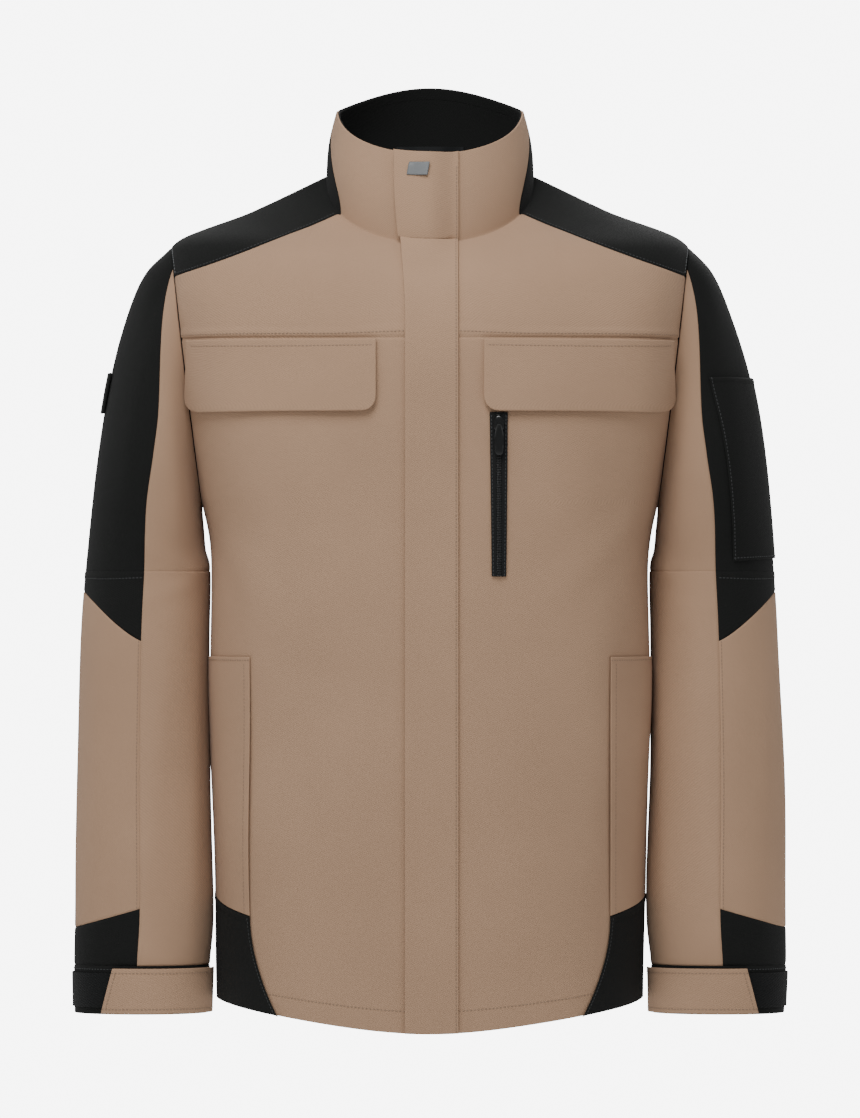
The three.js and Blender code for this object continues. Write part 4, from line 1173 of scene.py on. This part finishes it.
placketRings = evenRings(bodyPoint, 0.02, 0, 11)
strip = makeSheet(body, placketPlace, placketRise(placket["top"], placket["lift"]), placket["thick"])
placketBend = [(0, 0, (placket[z] - shift[2]) / 1000) for z in ("bendTop", "bendEnd")]
placketHow = (root, "placket", *placketBend)
sewIn("stormPlacket", strip, "tan", placketHow, ["placket", "placket_collar_end"],
      spacing=3)
sewLine(strip, *edgeLine(strip, "b", 2.2, 0.0, 0.985, 500), "tanThread", placketHow)

labelCut = {"low": 10.72, "tall": 0.15, "left": -19, "right": -2}


def labelPlace(u, v):
    k = labelCut["low"] + labelCut["tall"] * v
    return signedAngle(mix(labelCut["left"], labelCut["right"], u) + 2 * v, k), k


tag = makeSheet(body, labelPlace, placketRise(placket["top"] + 1.0, placket["lift"]), 0.9)
piece = sheetMesh("placketLabel", tag, 1.5)
finish(piece, "label", root, nodes=["placket_label"])

# Zips: woven tapes, moulded teeth or coil as rows of small blocks, lacquered sliders and pullers
mainZip = {"pitch": 2.6, "toothWide": 3.0, "toothTall": 1.5, "toothDeep": 2.0,
           "tapeTop": -2.6, "tapeThick": 1.2}
blockShape = np.array([[x, y, z] for x in (-0.5, 0.5) for y in (-0.5, 0.5) for z in (0, 0.7)], float)
blockShape[1::2] *= [0.86, 0.7, 1]
blockShape = np.concatenate([blockShape, [[0, 0, 1]]])
blockFaces = np.array([
    [0, 2, 6], [0, 6, 4], [0, 1, 3], [0, 3, 2], [4, 6, 7],
    [4, 7, 5], [0, 4, 5], [0, 5, 1], [2, 3, 7], [2, 7, 6],
    [1, 5, 8], [5, 7, 8], [7, 3, 8], [3, 1, 8]])


def blockRow(sheet, u, v, lift, size):  # copies of one block along a line, turned with the surface
    p, n = onSheet(sheet, u, v, lift=lift)
    way = np.gradient(p, axis=0)
    way /= np.linalg.norm(way, axis=1, keepdims=True)
    across = np.cross(way, n)
    across /= np.linalg.norm(across, axis=1, keepdims=True)
    n = np.cross(across, way)
    local = blockShape * np.array(size)
    points = (p[:, None] + local[None, :, :1] * across[:, None] + local[None, :, 1:2] * way[:, None]
              + local[None, :, 2:] * n[:, None])
    faces = blockFaces[None] + (np.arange(len(p)) * len(blockShape))[:, None, None]
    return points.reshape(-1, 3), faces.reshape(-1, 3)


def zipTapePlace(low, high):
    def place(u, v):
        k = zipRings(v)
        return angleAtX(mix(low, high, u), k), k
    return place


zipRings = evenRings(bodyPoint, 0.02, 0.05, 10.9)
zipLine = table2d(zipTapePlace(0.3, 16), 60)
for side, small, big in bothSides:
    tape = makeSheet(body, zipLine, mainZip["tapeTop"], mainZip["tapeThick"], side=side, inset=0)
    sewIn("zipTape" + big, tape, "tape", root, ["zip_half_" + small], spacing=4)
    count = int(tape["long"].mean() / mainZip["pitch"])
    t = (np.arange(count) + (0.25 if side > 0 else 0.75)) / count
    toothSize = mainZip["toothWide"], mainZip["toothTall"], mainZip["toothDeep"]
    points, faces = blockRow(tape, 0 * t + 0.1, t, 0, toothSize)
    finish(meshFrom("zipTeeth" + big, points, faces), "nylon", root)

chestZip = {"x": flapCut["inner"] + 13, "coil": 1.5, "wide": 4.2, "deep": 1.1}
zipTop = flapTopZ - flapCut["drop"] - 1


def chestZipPlace(u, v):
    x = chestZip["x"] + (u - 0.5) * zipCut["width"] * mix(0.8, 1, v)
    return spot(x, zipTop - zipCut["length"] * (1 - v))


tape = makeSheet(body, table2d(chestZipPlace, 16), overlay["top"], overlay["thick"], side=1)
sewIn("chestZipTape", tape, "tape", root, ["chest_zip_tape"], spacing=2)
sewLine(tape, *edgeLine(tape, "a", 1.6), "blackThread", root)
sewLine(tape, *edgeLine(tape, "b", 1.6), "blackThread", root)
count = int(zipCut["length"] / chestZip["coil"])
t = (np.arange(count) + 0.5) / count
points, faces = blockRow(tape, 0 * t + 0.5, t, 0, (chestZip["wide"], 0.9, chestZip["deep"]))
finish(meshFrom("chestZipCoil", points, faces), "nylon", root)


def roundedPlate(name, node, corner, neck):
    # an outline with round corners, carried through the plate's depth and drawn in at its edges;
    # neck narrows its upper end
    low, high = (np.array(v) * 1000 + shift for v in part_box(node))
    middle, size = (low + high) / 2, (high - low) / 2
    a = np.linspace(0, 2 * np.pi, 48, endpoint=False)
    power = 2 / corner
    across = np.sign(np.cos(a)) * np.abs(np.cos(a)) ** power
    up = np.sign(np.sin(a)) * np.abs(np.sin(a)) ** power
    narrow = mix(1, neck, smooth((up - 0.2) / 0.8))
    layers = [(0.0, 1), (0.55, 1), (0.9, 1), (1, 0.55), (1, -0.55), (0.9, -1), (0.55, -1), (0.0, -1)]
    outline = []
    for share, depth in layers:
        outline.append(np.stack([
            middle[0] + size[0] * across * narrow * share,
            middle[1] + size[1] * depth + 0 * a,
            middle[2] + size[2] * up * share], 1))
    points = np.concatenate(outline)
    count = len(a)
    i = np.arange(count)
    after = (i + 1) % count
    faces = np.concatenate([
        np.stack([i, after, count + after, count + i], 1) + j * count
        for j in range(len(layers) - 1)])
    return meshFrom(name, points, faces[:, ::-1], sharp=40)


sliders = (
    ("chestZipSlider", "chest_zip_slider", 3.2, 0.7, "chest_slider"),
    ("chestZipPuller", "chest_zip_puller", 3.6, 0.62, "chest_puller"),
    ("zipSlider", "zip_slider", 3.2, 0.7, "main_slider"),
    ("zipPuller", "zip_puller", 3.6, 0.62, "main_slider"),
)
for name, node, corner, neck, onBody in sliders:
    finish(roundedPlate(name, node, corner, neck), "lacquer", onBody, nodes=[node])

# Hanger loop: a ribbon bowed forward from the back neck
ribbon = {"span": 60, "height": 7, "thick": 1.2, "bow": 6.1, "reach": 9}
t = np.linspace(0, 1, 41)
x = mix(-ribbon["span"] / 2, ribbon["span"] / 2, t)
backY = bodyPoint(np.pi - np.arcsin(x / cut["neckHalfWidth"]), 10.12)[:, 1]
bowed = backY - ribbon["bow"] - ribbon["reach"] * smooth(1.35 - np.abs(2 * t - 1) * 1.35)
ribbonFaces, ribbonRows = [], []
halfThick = ribbon["thick"] / 2
for height, depth in ((0, 1), (ribbon["height"], 1), (ribbon["height"], -1), (0, -1)):
    ribbonRows.append(np.stack([x, bowed + depth * halfThick, 0 * t + loopTop + height], 1))
count = len(t)
i = np.arange(count - 1)
for j in range(4):
    this, following = j * count + i, (j + 1) % 4 * count + i
    ribbonFaces.append(np.stack([this, this + 1, following + 1, following], 1))
ends = np.array([[0, count, 2 * count, 3 * count], [4 * count - 1, 3 * count - 1, 2 * count - 1, count - 1]])
loop = meshFrom("hangerLoop", np.concatenate(ribbonRows), np.concatenate([*ribbonFaces, ends])[:, ::-1],
                sharp=40)
finish(loop, "ribbon", root, nodes=["hanger_loop"])

# Sleeve pocket on the wearer's left, folded tab on the right, loop tapes and cuff straps
pocketLine = sleeveLine(lambda a: armpitZ + 0.47 * cut["armholeHeight"] + 0 * a)
tabLine = [sleeveLine(lambda a, h=h: armpitZ + h * cut["armholeHeight"] + 0 * a) for h in (0.49, 0.33)]


def sleevePocketPlace(u, v):
    turn = mix(-70, 71, u) * degrees
    return turn, mix(pocketLine(turn), 4.85, v)


def tabPlace(u, v):
    turn = mix(-6, 14, u) * degrees
    return turn, mix(tabLine[0](turn), tabLine[1](turn), v)


patchPocket = makeSheet(sleeve, sleevePocketPlace, overlay["top"], overlay["thick"], armDrape,
                        sleeveKeep, welts="c")
sewIn("sleevePocket", patchPocket, "black", "upperSleeve", ["sleeve_pocket"],
      spacing=3)
for edge in "abd":
    sewLine(patchPocket, *edgeLine(patchPocket, edge, 2.2), "blackThread", "upperSleeve")
tab = makeSheet(sleeve, tabPlace, overlay["top"] + 1.4, 2.4, armDrape, side=-1)
sewIn("sleeveTab", tab, "black", "upperSleeve", ["sleeve_tab"], spacing=1.5)


def loopTapePlace(u, v):
    return mix(-55, 98, u) * degrees, mix(9.14, 9.86, v)


def strapPlace(u, v):
    tip = mix(68, 57, v) * degrees
    share = strapCut["height"] / sleeveCut["band"]
    return mix(tip, strapCut["end"] * degrees, u), mix(10 - share, 9.98, v)


for side, small, big in bothSides:
    fuzzy = makeSheet(sleeve, loopTapePlace, 1.8, 0.9, armDrape, side=side)
    sewIn("cuffLoopTape" + big, fuzzy, "loop", "forearm", ["cuff_loop_tape_" + small],
          spacing=3)
    strap = makeSheet(sleeve, strapPlace, strapCut["low"] + strapCut["thick"], strapCut["thick"],
                      armDrape, side=side)
    hinge = [(side * x, 0, 0) for x in (0.220, 0.236)]
    how = ("forearm_" + small, "strap_" + small, *hinge)
    sewIn("cuffStrap" + big, strap, "tan", how, ["cuff_strap_" + small], spacing=3)
    for edge in "cd":
        sewLine(strap, *edgeLine(strap, edge, 4), "tanThread", how)
    sewLine(strap, *edgeLine(strap, "a", 4, 0.1, 0.9), "tanThread", how)
# Binding inside each armhole seam: a flat tape under the seam, mostly on the body's side
binding = {"under": 2.6, "thick": 0.8, "inwards": -7, "outwards": 1.6, "count": 160}
turns = np.linspace(0, 2 * np.pi, binding["count"], endpoint=False)
angle, k = armhole(turns)
seamLine = bodyPoint(angle, k)
middle = seamLine.mean(0)
middle[0] -= 60
alongSeam = np.roll(seamLine, -1, 0) - np.roll(seamLine, 1, 0)
away = seamLine - middle
away -= planeNormal * (away @ planeNormal)[:, None]
away -= alongSeam * (np.sum(away * alongSeam, 1) / np.sum(alongSeam ** 2, 1))[:, None]
away /= np.linalg.norm(away, axis=1, keepdims=True)
corners = [(binding["inwards"], 0), (binding["outwards"], 0), (binding["outwards"], binding["thick"]),
           (binding["inwards"], binding["thick"])]
loops = [seamLine + planeNormal * across - away * (binding["under"] + depth) for across, depth in corners]
i = np.arange(binding["count"])
following = (i + 1) % binding["count"]
strips = [np.stack([j * binding["count"] + i, j * binding["count"] + following,
                    (j + 1) % 4 * binding["count"] + following, (j + 1) % 4 * binding["count"] + i], 1)
          for j in range(4)]
for side, small, big in bothSides:
    points = np.concatenate(loops) * [side, 1, 1]
    faces = np.concatenate(strips)
    tape = meshFrom("armholeBinding" + big, points, faces if side < 0 else faces[:, ::-1], sharp=40)
    finish(tape, "ribbon", root)
print("placket, zips, loop, straps and binding made")

for number, ((thread, how, side), rows) in enumerate(sorted(sewn.items(), key=str)):
    starts = np.cumsum([0] + [len(points) for points, _ in rows])
    faces = np.concatenate([f + start for (_, f), start in zip(rows, starts)])
    points = np.concatenate([p for p, _ in rows])
    finish(meshFrom(f"stitching{number + 1:02d}", points, faces), thread, how, side)
print("stitching made")

# Stage: a pale floor, an even pale surround, and large soft lights from above and both sides
stage = {"pale": "#F4F4F4", "seen": 8.0, "fill": 0.24, "floorDrop": 0.35, "floorHalf": 4.0, "floorGlow": 0.3,
         "cameraAway": 8.7, "cameraHeight": -0.362, "lens": 313}
lights = (  # name, place, size, power
    ("softTop", (-0.3, -1.25, 1.3), 1.1, 40),
    ("softLeft", (-2.4, -2.0, 0.5), 1.6, 12),
    ("softRight", (2.4, -2.4, 0.4), 1.6, 10),
    ("softBack", (0.5, 2.6, 1.2), 1.8, 40),
    ("softBackLeft", (-3.0, 1.4, 0.4), 1.6, 18),
    ("softBackRight", (3.0, 1.4, 0.4), 1.6, 18),
)


def aimed(piece, target):  # turned so that its -Z axis points at the target
    way = np.array(target, float) - np.array(piece.location)
    flat = math.hypot(way[0], way[1])
    piece.rotation_euler = (math.atan2(flat, -way[2]), 0, math.atan2(-way[0], way[1]))


def addToScene(name, data):
    piece = bpy.data.objects.new(name, data)
    bpy.context.scene.collection.objects.link(piece)
    return piece


def makeStage():
    camera = bpy.data.cameras.new("camera")
    camera.lens, camera.sensor_width = stage["lens"], 36
    eye = addToScene("camera", camera)
    eye.location = (0, -stage["cameraAway"], stage["cameraHeight"])
    eye.rotation_euler = (half, 0, 0)
    bpy.context.scene.camera = eye
    world = bpy.data.worlds.new("surround")
    world.use_nodes = True
    tree = world.node_tree
    tree.nodes.clear()
    ray = addNode(tree, "ShaderNodeLightPath")
    strength = addNode(tree, "ShaderNodeMapRange",
                       {"Value": (ray, "Is Camera Ray"), "To Min": stage["fill"], "To Max": stage["seen"]})
    surround = addNode(tree, "ShaderNodeBackground",
                       {"Color": toLinear(stage["pale"]), "Strength": (strength, "Result")})
    addNode(tree, "ShaderNodeOutputWorld", {"Surface": (surround, "Background")})
    bpy.context.scene.world = world
    middle = (0, -0.06, -0.35)
    for name, where, size, power in lights:
        lamp = bpy.data.lights.new(name, "AREA")
        lamp.size, lamp.energy = size, power
        piece = addToScene(name, lamp)
        piece.location = where
        aimed(piece, middle)
    low = (sizeAtLoad[0][2] - stage["floorDrop"]) * 1000 + shift[2]
    corners = np.array([[-1, -1, 0], [1, -1, 0], [1, 1, 0], [-1, 1, 0]]) * 1000 * stage["floorHalf"]
    corners = corners + [0, 0, low]
    floor = meshFrom("floor", corners, np.array([[0, 1, 2, 3]]))
    painted = plain("matt painted floor, pale", stage["pale"], 0.9)
    shader = painted.node_tree.nodes["Principled BSDF"]
    shader.inputs["Emission Color"].default_value = toLinear(stage["pale"])
    shader.inputs["Emission Strength"].default_value = stage["floorGlow"]
    floor.data.materials.append(painted)


makeStage()
